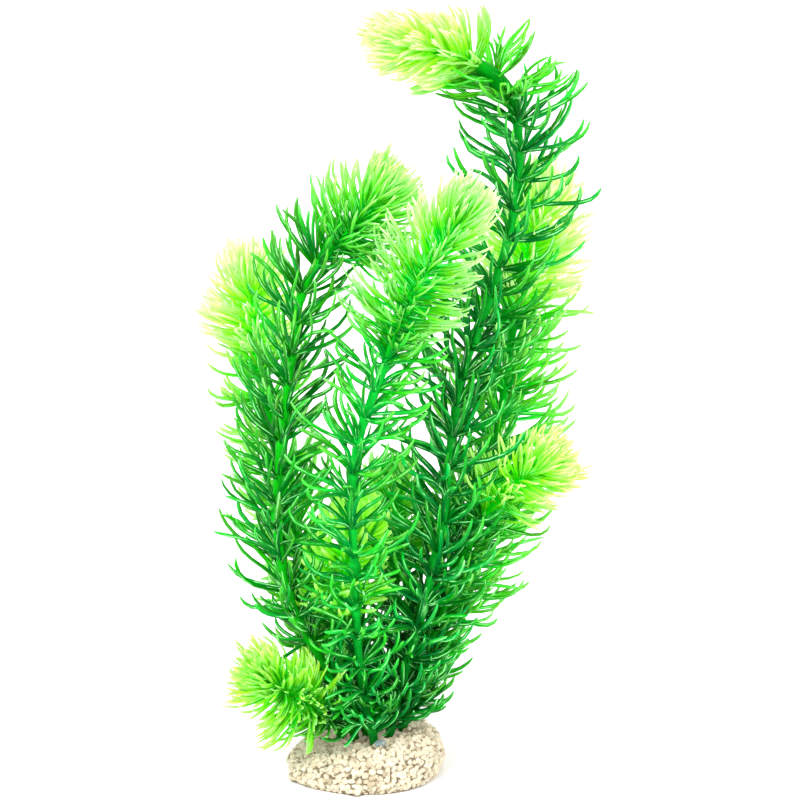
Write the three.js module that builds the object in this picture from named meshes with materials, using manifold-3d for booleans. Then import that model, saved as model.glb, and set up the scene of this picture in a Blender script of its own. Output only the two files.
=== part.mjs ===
// A moulded hornwort bunch: nine leafy stems of soft plastic that stand in an oval mound of glued gravel.
// Millimetres, +Z up. The origin is the centre of the mound's flat underside and -Y is the front.
// Each stem is a row of mouldings pushed together, peg into sleeve, and ends in a dense head.

import * as THREE from "three";
import { mergeVertices } from "three/addons/utils/BufferGeometryUtils.js";
import Module from "manifold-3d";

// Driving dimensions of the mouldings
const STEM_RADIUS = 1.9;
const HEAD_END_RADIUS = 1.1;
const SLEEVE_RADIUS = 2.6;
const SLEEVE_LENGTH = 4;
const SLEEVE_TAPER = 1.6;
const PEG_RADIUS = 1.1;
const PEG_LENGTH = 4;
const FIT_GAP = 0.3;

// Driving dimensions of the leaves
const LEAVES_PER_WHORL = 8;
const WHORL_SPACING = 12.5;
const LEAF_ROOT_HEIGHT = 2.4;
const HEAD_BAND = 5;
const LEAF_LENGTH_SPREAD = 0.14;
const STEM_LEAF_LEAN = { low: 46, high: 58 };
const LEAST_LEAN = 32;
const LEAST_LEAN_AT_JOINT = 47;
const HEAD_FIRST_LEAN = 68;
const HEAD_LAST_LEAN = 22;
const HEAD_LAST_LEAF_SHARE = 0.72;
const HEAD_BUD_LENGTH = 9;
const BEND_TAPERS_OVER = 1.4;
const LOW_LEAF_SHARE = 0.72;
const LOW_LEAVES_BELOW = 85;
const HIGHEST_TIP = 316;

// Driving dimensions of the gravel mound
const MOUND_WIDTH = 66;
const MOUND_DEPTH = 59;
const MOUND_TURN = 18;
const MOUND_HEIGHT = 16.4;
const MOUND_RISE_TO_RIGHT = 0.14;
const GRAVEL_LUMP = 1.1;
const FOOT_HEIGHT = 6;

// The bead of glue that sits on the gravel in front of the stems
const BEAD_CENTRE = [6, -14.5, 17.2];
const BEAD_HALF_SIZES = [2.5, 1.9, 1.7];

// Each route runs from the foot to the last leaves: right, back, up. The joints and the head are given by the
// height at which the stem reaches them, and leaf is how long the stem's leaves are. Leaves lean out from the
// stem where upright is 0, and from the vertical where it is 1; their lean changes from the foot to the head, and
// rightLean is how much further they lean out on the stem's right. A head with a bend starts as a thick bare tube
// with fewer and longer leaves, over a share of its length.
const STEMS = [
  {
    name: "tall_stem",
    lengths: ["lower_length", "middle_length", "upper_length"],
    route: [
      [8, -5, FOOT_HEIGHT], [10, -5, 19], [16, -7, 45], [25, -11, 80], [32, -12, 115], [34, -10, 140],
      [40, -5, 174], [50, -1, 201], [58, 2, 229], [61, 2, 258], [57, -1, 280], [46, -3, 292], [32, -6, 298],
      [15, -9, 303],
    ],
    joints: [90, 182],
    headFrom: 272,
    bend: { share: 0.42, leaf: 26, lean: 50, rightLean: 48, swelling: 1.2 },
    upright: 0.7,
    leaf: 32,
    headLeaf: 25,
    colour: "dark",
    headColour: "lime",
  },
  {
    name: "front_stem",
    lengths: ["lower_length", "upper_length"],
    route: [
      [4, -9, FOOT_HEIGHT], [3, -10, 19], [0, -13, 35], [-3, -18, 61], [-4, -24, 94], [-5, -28, 128],
      [-1, -31, 154], [9, -33, 182], [18, -34, 205], [29, -35, 225], [38, -35, 240],
    ],
    joints: [92],
    headFrom: 183,
    leaf: 28,
    headLeaf: 28,
    colour: "mid",
    headColour: "lime",
  },
  {
    name: "left_stem",
    lengths: ["lower_length", "upper_length"],
    route: [
      [-3, -5, FOOT_HEIGHT], [-5, -6, 19], [-12, -10, 41], [-26, -16, 69], [-32, -19, 88], [-35, -20, 114],
      [-34, -20, 138], [-31, -19, 161], [-28, -18, 183], [-25, -17, 203], [-18, -16, 217], [-6, -15, 229],
      [6, -14, 243],
    ],
    joints: [112],
    headFrom: 218,
    lean: { low: 39, high: 28 },
    rightLean: 24,
    upright: 1,
    leaf: 28,
    headLeaf: 28,
    colour: "dark",
    headColour: "bright",
  },
  {
    name: "right_back_stem",
    lengths: ["lower_length", "upper_length"],
    route: [
      [9, 7, FOOT_HEIGHT], [11, 7, 18], [16, 9, 32], [26, 12, 55], [38, 14, 80], [48, 16, 112], [54, 18, 141],
      [58, 20, 168], [61, 21, 192], [66, 22, 215], [71, 22, 234],
    ],
    joints: [98],
    headFrom: 186,
    lean: { low: 34, high: 70 },
    leaf: 33,
    headLeaf: 29,
    colour: "mid",
    headColour: "lime",
  },
  {
    name: "left_back_stem",
    lengths: ["lower_length", "upper_length"],
    route: [
      [-4, 4, FOOT_HEIGHT], [-6, 4, 18], [-12, 8, 37], [-22, 14, 69], [-30, 18, 103], [-37, 21, 134],
      [-42, 23, 159], [-45, 25, 183], [-47, 26, 204],
    ],
    joints: [100],
    headFrom: 164,
    leaf: 26,
    headLeaf: 26,
    colour: "mid",
    headColour: "lime",
  },
  {
    name: "lower_right_stem",
    lengths: ["length"],
    route: [
      [13, 1, FOOT_HEIGHT], [15, 1, 18], [20, 1, 35], [30, 0, 66], [39, -1, 92], [49, -4, 111], [61, -7, 126],
      [74, -9, 134],
    ],
    joints: [],
    headFrom: 110,
    lean: { low: 38, high: 56 },
    upright: 0.4,
    leaf: 26,
    headLeaf: 22,
    colour: "dark",
    headColour: "bright",
  },
  {
    name: "lower_left_stem",
    lengths: ["length"],
    route: [
      [-9, -1, FOOT_HEIGHT], [-11, -2, 18], [-15, -5, 26], [-23, -13, 34], [-32, -19, 41], [-40, -24, 50],
    ],
    joints: [],
    headFrom: 29,
    leaf: 24,
    headLeaf: 24,
    colour: "mid",
    headColour: "lime",
  },
  {
    name: "inner_left_stem",
    lengths: ["length"],
    route: [
      [1, -1, FOOT_HEIGHT], [0, -1, 18], [-6, -4, 37], [-10, -6, 55], [-12, -8, 70], [-9, -10, 90],
      [-4, -12, 112],
    ],
    joints: [],
    headFrom: 66,
    leaf: 22,
    headLeaf: 22,
    colour: "mid",
    headColour: "bright",
  },
  {
    name: "inner_right_stem",
    lengths: ["length"],
    route: [[3, 5, FOOT_HEIGHT], [4, 6, 18], [7, 8, 34], [11, 9, 55], [12, 9, 81], [11, 9, 108], [10, 8, 122]],
    joints: [],
    headFrom: 82,
    leaf: 22,
    headLeaf: 21,
    colour: "dark",
    headColour: "bright",
  },
];

const SEED = 77;
const FRAME_STEP = 0.5;
const STEP_ANGLE = (2 * Math.PI) / LEAVES_PER_WHORL;
const UP = new THREE.Vector3(0, 0, 1);

const COLOURS = {
  dark: 0x0b8a35,
  mid: 0x14a52c,
  bright: 0x35c823,
  lime: 0x8fe53c,
};

const wasm = await Module();
wasm.setup();

// A repeatable run of numbers from 0 to 1.
function numbersFrom(seed) {
  let state = seed;
  return () => {
    state = (state + 0x6d2b79f5) | 0;
    let mixed = Math.imul(state ^ (state >>> 15), 1 | state);
    mixed = (mixed + Math.imul(mixed ^ (mixed >>> 7), 61 | mixed)) ^ mixed;
    return ((mixed ^ (mixed >>> 14)) >>> 0) / 4294967296;
  };
}

const random = numbersFrom(SEED);

// A number from -reach to reach.
const spread = (reach) => (2 * random() - 1) * reach;

// The middle line of a stem, with a side direction carried along it so that the skin doesn't twist.
class Centreline {
  constructor(route) {
    const points = route.map((place) => new THREE.Vector3(...place));
    const curve = new THREE.CatmullRomCurve3(points, false, "centripetal");
    curve.arcLengthDivisions = 800;
    this.length = curve.getLength();
    this.frames = [];
    const steps = Math.ceil(this.length / FRAME_STEP);
    let side = new THREE.Vector3(1, 0, 0);
    for (let i = 0; i <= steps; i++) {
      const along = curve.getTangentAt(i / steps);
      side = side.clone().projectOnPlane(along).normalize();
      const back = along.clone().cross(side);
      this.frames.push({ point: curve.getPointAt(i / steps), along, side, back });
    }
    this.step = this.length / steps;
  }

  // The frame at a distance from the foot, carried straight on past either end.
  at(distance) {
    const last = this.frames.length - 1;
    const index = Math.min(last, Math.max(0, Math.round(distance / this.step)));
    const frame = this.frames[index];
    const beyond = distance - index * this.step;
    return { ...frame, point: frame.point.clone().addScaledVector(frame.along, beyond) };
  }

  // How far along the stem it first reaches a height.
  distanceAtHeight(height) {
    return this.step * this.frames.findIndex((frame) => frame.point.z >= height);
  }
}

// A ring of the skin. The turn counts half steps, so that each whorl's leaves stand between the last one's.
const ring = (distance, radius, turn) => ({ distance, radius, turn });

// The rings of a socket that takes the peg below, from its blind end out to the sleeve and up to the stem.
function socketRings(from, turn) {
  const bore = PEG_RADIUS + FIT_GAP;
  return [
    ring(from + PEG_LENGTH + FIT_GAP, bore, turn),
    ring(from, bore, turn),
    ring(from, SLEEVE_RADIUS, turn),
    ring(from + SLEEVE_LENGTH, SLEEVE_RADIUS, turn),
    ring(from + SLEEVE_LENGTH + SLEEVE_TAPER, STEM_RADIUS, turn),
  ];
}

// The rings of the peg at the top of a length.
function pegRings(to, turn) {
  return [
    ring(to, STEM_RADIUS, turn),
    ring(to, PEG_RADIUS, turn),
    ring(to + PEG_LENGTH, PEG_RADIUS, turn),
  ];
}

// A plan is a moulding's rings in order, and its whorls: which ring each begins at, and its leaves' habit.
function planLength(stem, name, from, to, isFoot, firstTurn) {
  const rings = isFoot ? [ring(from, STEM_RADIUS, firstTurn)] : socketRings(from, firstTurn);
  const whorls = [];
  const bare = isFoot ? stem.bareFoot : SLEEVE_LENGTH + SLEEVE_TAPER + LEAF_ROOT_HEIGHT;
  const start = from + bare;
  const end = to - LEAF_ROOT_HEIGHT;
  const gaps = Math.max(1, Math.round((end - start) / WHORL_SPACING));
  const pitch = (end - start) / gaps;
  let turn = firstTurn;
  if (isFoot) rings.push(ring(start - LEAF_ROOT_HEIGHT, STEM_RADIUS, turn));
  for (let i = 0; i <= gaps; i++) {
    const middle = start + i * pitch;
    const { z } = stem.line.at(middle).point;
    const lowShare = Math.min(1, z / LOW_LEAVES_BELOW);
    const lean = stem.lean ?? STEM_LEAF_LEAN;
    turn += 1;
    whorls.push({
      ringIndex: rings.length,
      lean: THREE.MathUtils.lerp(lean.low, lean.high, z / stem.headFrom),
      leastLean: i === gaps ? LEAST_LEAN_AT_JOINT : LEAST_LEAN,
      rightLean: stem.rightLean ?? 0,
      upright: stem.upright ?? 0,
      leaf: stem.leaf * THREE.MathUtils.lerp(LOW_LEAF_SHARE, 1, lowShare * lowShare),
      rootHalf: STEM_LEAF_HALF,
      middle,
    });
    rings.push(ring(middle - LEAF_ROOT_HEIGHT / 2, STEM_RADIUS, turn));
    rings.push(ring(middle + LEAF_ROOT_HEIGHT / 2, STEM_RADIUS, turn));
  }
  rings.push(...pegRings(to, turn));
  return { stem, name: `${stem.name}_${name}`, rings, whorls, turn, colour: stem.colour };
}

// How much thicker a head's stem is at a share of its length, for the bend is the thickest in its middle.
function swellingAt(stem, share) {
  if (!stem.bend) return 0;
  const across = Math.min(1, share / (BEND_TAPERS_OVER * stem.bend.share));
  return stem.bend.swelling * Math.sin(Math.PI * across);
}

// A head is one band of leaves on the next, ever more upright, and a pointed bud at the end.
function planHead(stem, from, firstTurn) {
  const rings = socketRings(from, firstTurn);
  const whorls = [];
  const start = from + SLEEVE_LENGTH + SLEEVE_TAPER;
  const count = Math.round((stem.line.length - start) / HEAD_BAND);
  const pitch = (stem.line.length - start) / count;
  let turn = firstTurn;
  for (let i = 0; i < count; i++) {
    const share = (i + 0.5) / count;
    const isBend = share < (stem.bend?.share ?? 0);
    if (!isBend || i % 2 === 0) {
      whorls.push({
        ringIndex: rings.length - 1,
        lean: isBend ? stem.bend.lean : THREE.MathUtils.lerp(HEAD_FIRST_LEAN, HEAD_LAST_LEAN, share * share),
        leastLean: 0,
        rightLean: isBend ? stem.bend.rightLean : 0,
        upright: 0,
        leaf: isBend ? stem.bend.leaf : stem.headLeaf * THREE.MathUtils.lerp(1, HEAD_LAST_LEAF_SHARE, share * share),
        rootHalf: HEAD_LEAF_HALF,
        middle: start + (i + 0.5) * pitch,
      });
    }
    turn += 1;
    const radius = THREE.MathUtils.lerp(STEM_RADIUS, HEAD_END_RADIUS, (i + 1) / count);
    rings.push(ring(start + (i + 1) * pitch, radius + swellingAt(stem, (i + 1) / count), turn));
  }
  const bud = stem.line.at(stem.line.length + HEAD_BUD_LENGTH).point;
  return { stem, name: `${stem.name}_head`, rings, whorls, turn, bud, colour: stem.headColour };
}

// All mouldings of one stem, from the foot up.
function planStem(stem) {
  const { line } = stem;
  stem.bareFoot = line.distanceAtHeight(MOUND_HEIGHT + 9);
  const headFrom = line.distanceAtHeight(stem.headFrom);
  const ends = [...stem.joints.map((height) => line.distanceAtHeight(height)), headFrom];
  stem.jointDistances = ends;
  const plans = [];
  let from = 0;
  let turn = 0;
  stem.lengths.forEach((name, i) => {
    const plan = planLength(stem, name, from, ends[i], i === 0, turn);
    plans.push(plan);
    from = ends[i] + FIT_GAP;
    turn = plan.turn;
  });
  plans.push(planHead(stem, from, turn));
  return plans;
}

// The eight points of a ring.
function ringPoints(line, { distance, radius, turn }) {
  const { point, side, back } = line.at(distance);
  return Array.from({ length: LEAVES_PER_WHORL }, (_, i) => {
    const angle = (i + turn / 2) * STEP_ANGLE;
    return point.clone()
      .addScaledVector(side, radius * Math.cos(angle))
      .addScaledVector(back, radius * Math.sin(angle));
  });
}

// The most that the gravel can stand up at a place in plan, and 0 outside the mound.
function moundHeightAt(x, y) {
  const turn = THREE.MathUtils.degToRad(MOUND_TURN);
  const across = (x * Math.cos(turn) + y * Math.sin(turn)) / (MOUND_WIDTH / 2);
  const deep = (y * Math.cos(turn) - x * Math.sin(turn)) / (MOUND_DEPTH / 2);
  const reach = Math.hypot(across, deep);
  return reach > 1.08 ? 0 : MOUND_HEIGHT + MOUND_RISE_TO_RIGHT * x + GRAVEL_LUMP;
}

// Leaves are placed one at a time, each clear of every stem and of the leaves before it.
const STEM_LEAF_HALF = 1.4;
const HEAD_LEAF_HALF = 2.4;
const LEAF_CLEARANCE = 0.35;
const STEM_CLEARANCE = 0.5;
const NEAR_ROOTS = 7;
const ROOT_SHARE_SKIPPED = 0.25;
const OWN_STEM_SKIPPED = 9;
const STEM_CHECK_STEP = 3;
const GROUND_CLEARANCE = 0.5;
const TRIES = 60;
const SHORTEST_SHARE = 0.55;
const FORK_SQUEEZE = 5;
const LONGEST_LEAF = 36;

// The closest points of two segments, as shares of each, and the distance between them.
function closestApproach(p, pEnd, q, qEnd) {
  const u = pEnd.clone().sub(p);
  const v = qEnd.clone().sub(q);
  const w = p.clone().sub(q);
  const a = u.dot(u);
  const b = u.dot(v);
  const c = v.dot(v);
  const d = u.dot(w);
  const e = v.dot(w);
  const determinant = a * c - b * b;
  const clamp = (share) => THREE.MathUtils.clamp(share, 0, 1);
  let onP = determinant > 1e-9 ? clamp((b * e - c * d) / determinant) : 0;
  const onQ = clamp((b * onP + e) / c);
  onP = clamp((b * onQ - d) / a);
  const gap = w.addScaledVector(u, onP).addScaledVector(v, -onQ).length();
  return { onP, onQ, gap };
}

// Half of a leaf's height at a share of its length, for it tapers from its root to a point.
const leafHalfAt = (leaf, share) => leaf.whorl.rootHalf * (1 - share);

// Whether two leaves of different whorls stay clear of each other.
function leavesClear(one, other) {
  if (one.middle.distanceTo(other.middle) > one.half + other.half + 2 * HEAD_LEAF_HALF) return true;
  const neighbours = one.stem === other.stem && one.root.distanceTo(other.root) < NEAR_ROOTS;
  const skipped = neighbours ? ROOT_SHARE_SKIPPED : 0;
  const oneStart = one.root.clone().lerp(one.tip, skipped);
  const otherStart = other.root.clone().lerp(other.tip, skipped);
  const { onP, onQ, gap } = closestApproach(oneStart, one.tip, otherStart, other.tip);
  const shareP = skipped + onP * (1 - skipped);
  const shareQ = skipped + onQ * (1 - skipped);
  return gap > leafHalfAt(one, shareP) + leafHalfAt(other, shareQ) + LEAF_CLEARANCE;
}

// Whether a leaf stays clear of every stem, its own near its root left out.
function stemsClear(leaf, stems) {
  return stems.every((stem) =>
    stem.pieces.every((piece) => {
      if (stem === leaf.stem && Math.abs(piece.distance - leaf.distance) < OWN_STEM_SKIPPED) return true;
      if (piece.start.distanceTo(leaf.middle) > leaf.half + 2 * SLEEVE_RADIUS) return true;
      const { onP, gap } = closestApproach(leaf.root, leaf.tip, piece.start, piece.end);
      return gap > leafHalfAt(leaf, onP) + piece.radius + STEM_CLEARANCE;
    }));
}

// Whether a leaf stays above the gravel and the ground, and below the bunch's full height.
function groundClear(leaf) {
  for (let share = 0.1; share <= 1; share += 0.1) {
    const { x, y, z } = leaf.root.clone().lerp(leaf.tip, share);
    if (z - leafHalfAt(leaf, share) < moundHeightAt(x, y) + GROUND_CLEARANCE) return false;
  }
  return leaf.tip.z < HIGHEST_TIP;
}

// A leaf tried at one of a whorl's places, wilder with each try.
function triedLeaf(plan, whorl, index, root, outward, along, attempt) {
  const wildness = attempt / TRIES;
  const toRight = whorl.rightLean * Math.max(0, outward.x);
  const lean = THREE.MathUtils.degToRad(whorl.lean + toRight + spread(9 + 22 * wildness));
  const squeeze = index % 2 === 0 ? FORK_SQUEEZE : -FORK_SQUEEZE;
  const swing = THREE.MathUtils.degToRad(squeeze + spread(6 + 14 * wildness));
  const axis = along.clone().lerp(UP, whorl.upright).normalize();
  const out = outward.clone().projectOnPlane(axis).normalize();
  const sideways = axis.clone().cross(out);
  const shortened = 1 - (1 - SHORTEST_SHARE) * Math.max(0, wildness - 0.3) / 0.7;
  const length = Math.min(LONGEST_LEAF, whorl.leaf * (1 + spread(LEAF_LENGTH_SPREAD)) * shortened);
  const direction = axis.multiplyScalar(Math.cos(lean))
    .addScaledVector(out, Math.sin(lean) * Math.cos(swing))
    .addScaledVector(sideways, Math.sin(lean) * Math.sin(swing));
  const tip = root.clone().addScaledVector(direction, length);
  return {
    stem: plan.stem,
    offStem: THREE.MathUtils.radToDeg(direction.angleTo(along)),
    whorl,
    distance: whorl.middle,
    root,
    tip,
    middle: root.clone().lerp(tip, 0.5),
    half: length / 2,
  };
}

// The leaf that stands clear at a whorl's place, or nothing where none does.
function placedLeaf(plan, whorl, index, placed, stems) {
  const { line } = plan.stem;
  const lower = ringPoints(line, plan.rings[whorl.ringIndex]);
  const upper = ringPoints(line, plan.rings[whorl.ringIndex + 1]);
  const next = (index + 1) % LEAVES_PER_WHORL;
  const root = lower[index].clone().add(lower[next]).add(upper[index]).add(upper[next]).multiplyScalar(0.25);
  const { point, along } = line.at(whorl.middle);
  const outward = root.clone().sub(point).projectOnPlane(along).normalize();
  for (let attempt = 0; attempt < TRIES; attempt++) {
    const leaf = triedLeaf(plan, whorl, index, root, outward, along, attempt);
    const others = placed.filter((other) => other.whorl !== whorl);
    const standsClear = leaf.offStem > whorl.leastLean && groundClear(leaf) && stemsClear(leaf, stems);
    if (standsClear && others.every((other) => leavesClear(leaf, other))) return leaf;
  }
  return null;
}

// The tips of a plan's leaves, whorl by whorl.
function growLeaves(plan, placed, stems) {
  for (const whorl of plan.whorls) {
    whorl.tips = [];
    for (let index = 0; index < LEAVES_PER_WHORL; index++) {
      const leaf = placedLeaf(plan, whorl, index, placed, stems);
      if (leaf) placed.push(leaf);
      whorl.tips.push(leaf ? leaf.tip : null);
    }
  }
}

// Short straight pieces of a stem, for the tests of what its neighbours' leaves clear.
function stemPieces(stem) {
  const pieces = [];
  for (let distance = 0; distance < stem.line.length; distance += STEM_CHECK_STEP) {
    const isSleeve = stem.jointDistances.some((joint) => Math.abs(distance - joint) < 2 * SLEEVE_LENGTH);
    const headFrom = stem.jointDistances.at(-1);
    const swelling = swellingAt(stem, Math.max(0, distance - headFrom) / (stem.line.length - headFrom));
    pieces.push({
      distance,
      start: stem.line.at(distance).point,
      end: stem.line.at(distance + STEM_CHECK_STEP).point,
      radius: Math.max(isSleeve ? SLEEVE_RADIUS : 0, STEM_RADIUS + swelling),
    });
  }
  return pieces;
}

// Collects a skin's points and triangles.
class Skin {
  constructor() {
    this.positions = [];
    this.triangles = [];
  }

  point(place) {
    this.positions.push(place.x, place.y, place.z);
    return this.positions.length / 3 - 1;
  }

  // The wall between two rings of points, both counted the same way round.
  wall(lower, upper) {
    lower.forEach((corner, i) => {
      const next = (i + 1) % lower.length;
      this.triangles.push(corner, lower[next], upper[i], lower[next], upper[next], upper[i]);
    });
  }

  // A wall whose sides each run out to a tip, or stay flat where there is none.
  whorl(lower, upper, tips) {
    lower.forEach((corner, i) => {
      const next = (i + 1) % lower.length;
      const outline = [corner, lower[next], upper[next], upper[i]];
      if (!tips[i]) {
        this.triangles.push(corner, lower[next], upper[i], lower[next], upper[next], upper[i]);
        return;
      }
      const tip = this.point(tips[i]);
      outline.forEach((from, k) => this.triangles.push(from, outline[(k + 1) % outline.length], tip));
    });
  }

  // A closing fan from a ring to a middle point, facing down at the start of a skin and up at its end.
  fan(corners, middle, facesUp) {
    const centre = this.point(middle);
    corners.forEach((corner, i) => {
      const next = corners[(i + 1) % corners.length];
      this.triangles.push(...(facesUp ? [corner, next, centre] : [next, corner, centre]));
    });
  }

  geometry() {
    const made = new THREE.BufferGeometry();
    made.setAttribute("position", new THREE.BufferAttribute(new Float32Array(this.positions), 3));
    made.setIndex(this.triangles);
    return made;
  }
}

// The closed skin of a moulding.
function mouldingGeometry(plan) {
  const { line } = plan.stem;
  const skin = new Skin();
  const corners = plan.rings.map((one) => ringPoints(line, one).map((place) => skin.point(place)));
  skin.fan(corners[0], line.at(plan.rings[0].distance).point, false);
  for (let i = 0; i + 1 < corners.length; i++) {
    const whorl = plan.whorls.find((one) => one.ringIndex === i);
    if (whorl) skin.whorl(corners[i], corners[i + 1], whorl.tips);
    else skin.wall(corners[i], corners[i + 1]);
  }
  const end = plan.bud ?? line.at(plan.rings.at(-1).distance).point;
  skin.fan(corners.at(-1), end, true);
  return skin.geometry();
}

// The hole that a stem's foot stands in, open at the top of the gravel.
function footHole(stem) {
  const skin = new Skin();
  const [bottom, top] = [-FIT_GAP, stem.bareFoot - LEAF_ROOT_HEIGHT];
  const [lower, upper] = [bottom, top].map((distance) =>
    ringPoints(stem.line, ring(distance, STEM_RADIUS + FIT_GAP, 0)).map((place) => skin.point(place)));
  skin.fan(lower, stem.line.at(bottom).point, false);
  skin.wall(lower, upper);
  skin.fan(upper, stem.line.at(top).point, true);
  return skin.geometry();
}

// The mound before its holes: rings of lumpy gravel from the flat underside up and in to the middle.
const MOUND_SIDES = 20;
const MOUND_PROFILE = [
  { reach: 0.93, up: 0 },
  { reach: 1, up: 0.2 },
  { reach: 0.99, up: 0.5 },
  { reach: 0.93, up: 0.78 },
  { reach: 0.78, up: 0.97 },
  { reach: 0.45, up: 1 },
];

function moundGeometry() {
  const skin = new Skin();
  const turn = THREE.MathUtils.degToRad(MOUND_TURN);
  const rings = MOUND_PROFILE.map(({ reach, up }, level) =>
    Array.from({ length: MOUND_SIDES }, (_, i) => {
      const angle = ((i + (level % 2) / 2) * 2 * Math.PI) / MOUND_SIDES;
      const across = (reach * MOUND_WIDTH * Math.cos(angle)) / 2 + spread(GRAVEL_LUMP);
      const deep = (reach * MOUND_DEPTH * Math.sin(angle)) / 2 + spread(GRAVEL_LUMP);
      const x = across * Math.cos(turn) - deep * Math.sin(turn);
      const y = across * Math.sin(turn) + deep * Math.cos(turn);
      const lump = level === 0 ? 0 : spread(GRAVEL_LUMP);
      const z = up * (MOUND_HEIGHT + MOUND_RISE_TO_RIGHT * x) + lump;
      return skin.point(new THREE.Vector3(x, y, z));
    }));
  skin.fan(rings[0], new THREE.Vector3(0, 0, 0), false);
  for (let level = 0; level + 1 < rings.length; level++) {
    if (level % 2 === 0) skin.wall(rings[level], rings[level + 1]);
    else skin.wall(rings[level], [...rings[level + 1].slice(1), rings[level + 1][0]]);
  }
  skin.fan(rings.at(-1), new THREE.Vector3(0, 0, MOUND_HEIGHT), true);
  return skin.geometry();
}

// An egg shape round the bead's centre, larger all round by a margin.
function beadGeometry(margin) {
  const made = new THREE.SphereGeometry(1, 8, 4);
  made.scale(...BEAD_HALF_SIZES.map((half) => half + margin));
  made.translate(...BEAD_CENTRE);
  return made;
}

// A geometry as a solid for cutting.
function solidOf(geometry) {
  const bare = geometry.clone();
  bare.deleteAttribute("normal");
  bare.deleteAttribute("uv");
  const merged = mergeVertices(bare, 1e-4);
  return new wasm.Manifold(new wasm.Mesh({
    numProp: 3,
    vertProperties: merged.attributes.position.array,
    triVerts: new Uint32Array(merged.index.array),
  }));
}

// A cut solid as a geometry again.
function geometryOf(solid) {
  const { numProp, vertProperties, triVerts } = solid.getMesh();
  const positions = [];
  for (let i = 0; i < vertProperties.length; i += numProp) {
    positions.push(...vertProperties.slice(i, i + 3));
  }
  const made = new THREE.BufferGeometry();
  made.setAttribute("position", new THREE.BufferAttribute(new Float32Array(positions), 3));
  made.setIndex(Array.from(triVerts));
  return made;
}

function namedMesh(name, geometry, colour, roughness) {
  const mesh = new THREE.Mesh(geometry, new THREE.MeshStandardMaterial({ color: colour, roughness, metalness: 0 }));
  mesh.name = name;
  mesh.geometry.computeVertexNormals();
  return mesh;
}

const PLASTIC_ROUGHNESS = 0.35;
const GRAVEL_ROUGHNESS = 0.9;
const GLUE_ROUGHNESS = 0.1;
const GRAVEL_COLOUR = 0xe6d8bd;
const GLUE_COLOUR = 0xb9d9e4;

const root = new THREE.Group();
root.name = "hornwort";

STEMS.forEach((stem) => {
  stem.line = new Centreline(stem.route);
});
const plans = STEMS.flatMap(planStem);
STEMS.forEach((stem) => {
  stem.pieces = stemPieces(stem);
});

// Heads first, because they show most, then the stems.
const placed = [];
const heads = plans.filter((plan) => plan.bud);
const lengths = plans.filter((plan) => !plan.bud);
[...heads, ...lengths].forEach((plan) => growLeaves(plan, placed, STEMS));
plans.forEach((plan) => {
  root.add(namedMesh(plan.name, mouldingGeometry(plan), COLOURS[plan.colour], PLASTIC_ROUGHNESS));
});

const cuts = [...STEMS.map(footHole), beadGeometry(FIT_GAP)].map(solidOf);
const mound = cuts.reduce((whole, cut) => whole.subtract(cut), solidOf(moundGeometry()));
root.add(namedMesh("gravel_mound", geometryOf(mound), GRAVEL_COLOUR, GRAVEL_ROUGHNESS));
root.add(namedMesh("glue_bead", beadGeometry(0), GLUE_COLOUR, GLUE_ROUGHNESS));

export default root;
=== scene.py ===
"""A moulded hornwort bunch in a mound of glued gravel, dressed for a photograph.

Nine leafy stems of soft plastic stand in the mound. Each moulding of each stem is one piece: a round stem
with its whorls of fine, curved and forked leaves, set on the roots and tips of the solid model's leaves.
Metres, +Z up, with the origin at the middle of the mound's underside and -Y at the front.
"""

import logging
import math
from dataclasses import dataclass, field
from enum import Enum

import bmesh
import bpy
import numpy as np
from mathutils import Matrix, Vector


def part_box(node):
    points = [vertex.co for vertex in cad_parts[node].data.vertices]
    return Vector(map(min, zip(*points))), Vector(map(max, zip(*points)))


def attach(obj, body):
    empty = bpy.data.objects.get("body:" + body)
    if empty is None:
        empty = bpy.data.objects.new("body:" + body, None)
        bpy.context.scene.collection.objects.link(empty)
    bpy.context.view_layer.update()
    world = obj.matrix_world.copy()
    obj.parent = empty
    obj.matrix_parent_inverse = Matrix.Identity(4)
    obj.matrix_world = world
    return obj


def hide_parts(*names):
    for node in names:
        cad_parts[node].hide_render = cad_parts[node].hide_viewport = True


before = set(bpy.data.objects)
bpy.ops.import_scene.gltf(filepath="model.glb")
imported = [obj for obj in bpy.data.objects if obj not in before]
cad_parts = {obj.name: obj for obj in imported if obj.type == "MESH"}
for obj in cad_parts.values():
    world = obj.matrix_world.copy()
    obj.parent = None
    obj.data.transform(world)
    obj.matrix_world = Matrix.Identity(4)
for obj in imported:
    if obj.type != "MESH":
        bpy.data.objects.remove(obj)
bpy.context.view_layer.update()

MM = 0.001
UP = np.array([0.0, 0.0, 1.0])
FULL_TURN = (0.0, 2 * math.pi)
IMAGE_PIXELS = 800
NEARLY_ZERO = 1e-12
SAME_CORNER = 0.01 * MM

# A span is a low and a high number, and a chord is a leaf's root and tip
Colour = tuple[float, float, float]
Place = tuple[float, float, float]
Span = tuple[float, float]
Shares = tuple[float, float, float, float]
Faces = list[tuple[int, ...]]
Chord = tuple[np.ndarray, np.ndarray]
Random = np.random.Generator
Socket = bpy.types.NodeSocket
Feed = Socket | Colour | float

log = logging.getLogger("hornwort")


class Slot(Enum):
    """The finishes, by name."""

    DARK_GREEN = "dark_green"
    MID_GREEN = "mid_green"
    BRIGHT_GREEN = "bright_green"
    LIME = "lime"
    GRAVEL = "gravel"
    GLUE = "glue"


class Habit(Enum):
    """How a moulding's leaves stand: in spaced whorls along a stem, or crowded in a head."""

    LENGTH = "length"
    HEAD = "head"


class Bend(Enum):
    """How a leaf bends, as how far it leans less than its chord at its root, and at its tip, in degrees."""

    CURLED_UP = ((-18, 2), (18, 46))
    ESS = ((20, 42), (20, 56))
    ARCHED_OUT = ((14, 34), (-32, 0))
    HOOKED = ((-30, -8), (34, 66))
    SPRAYED = ((-14, 12), (-12, 46))


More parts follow.
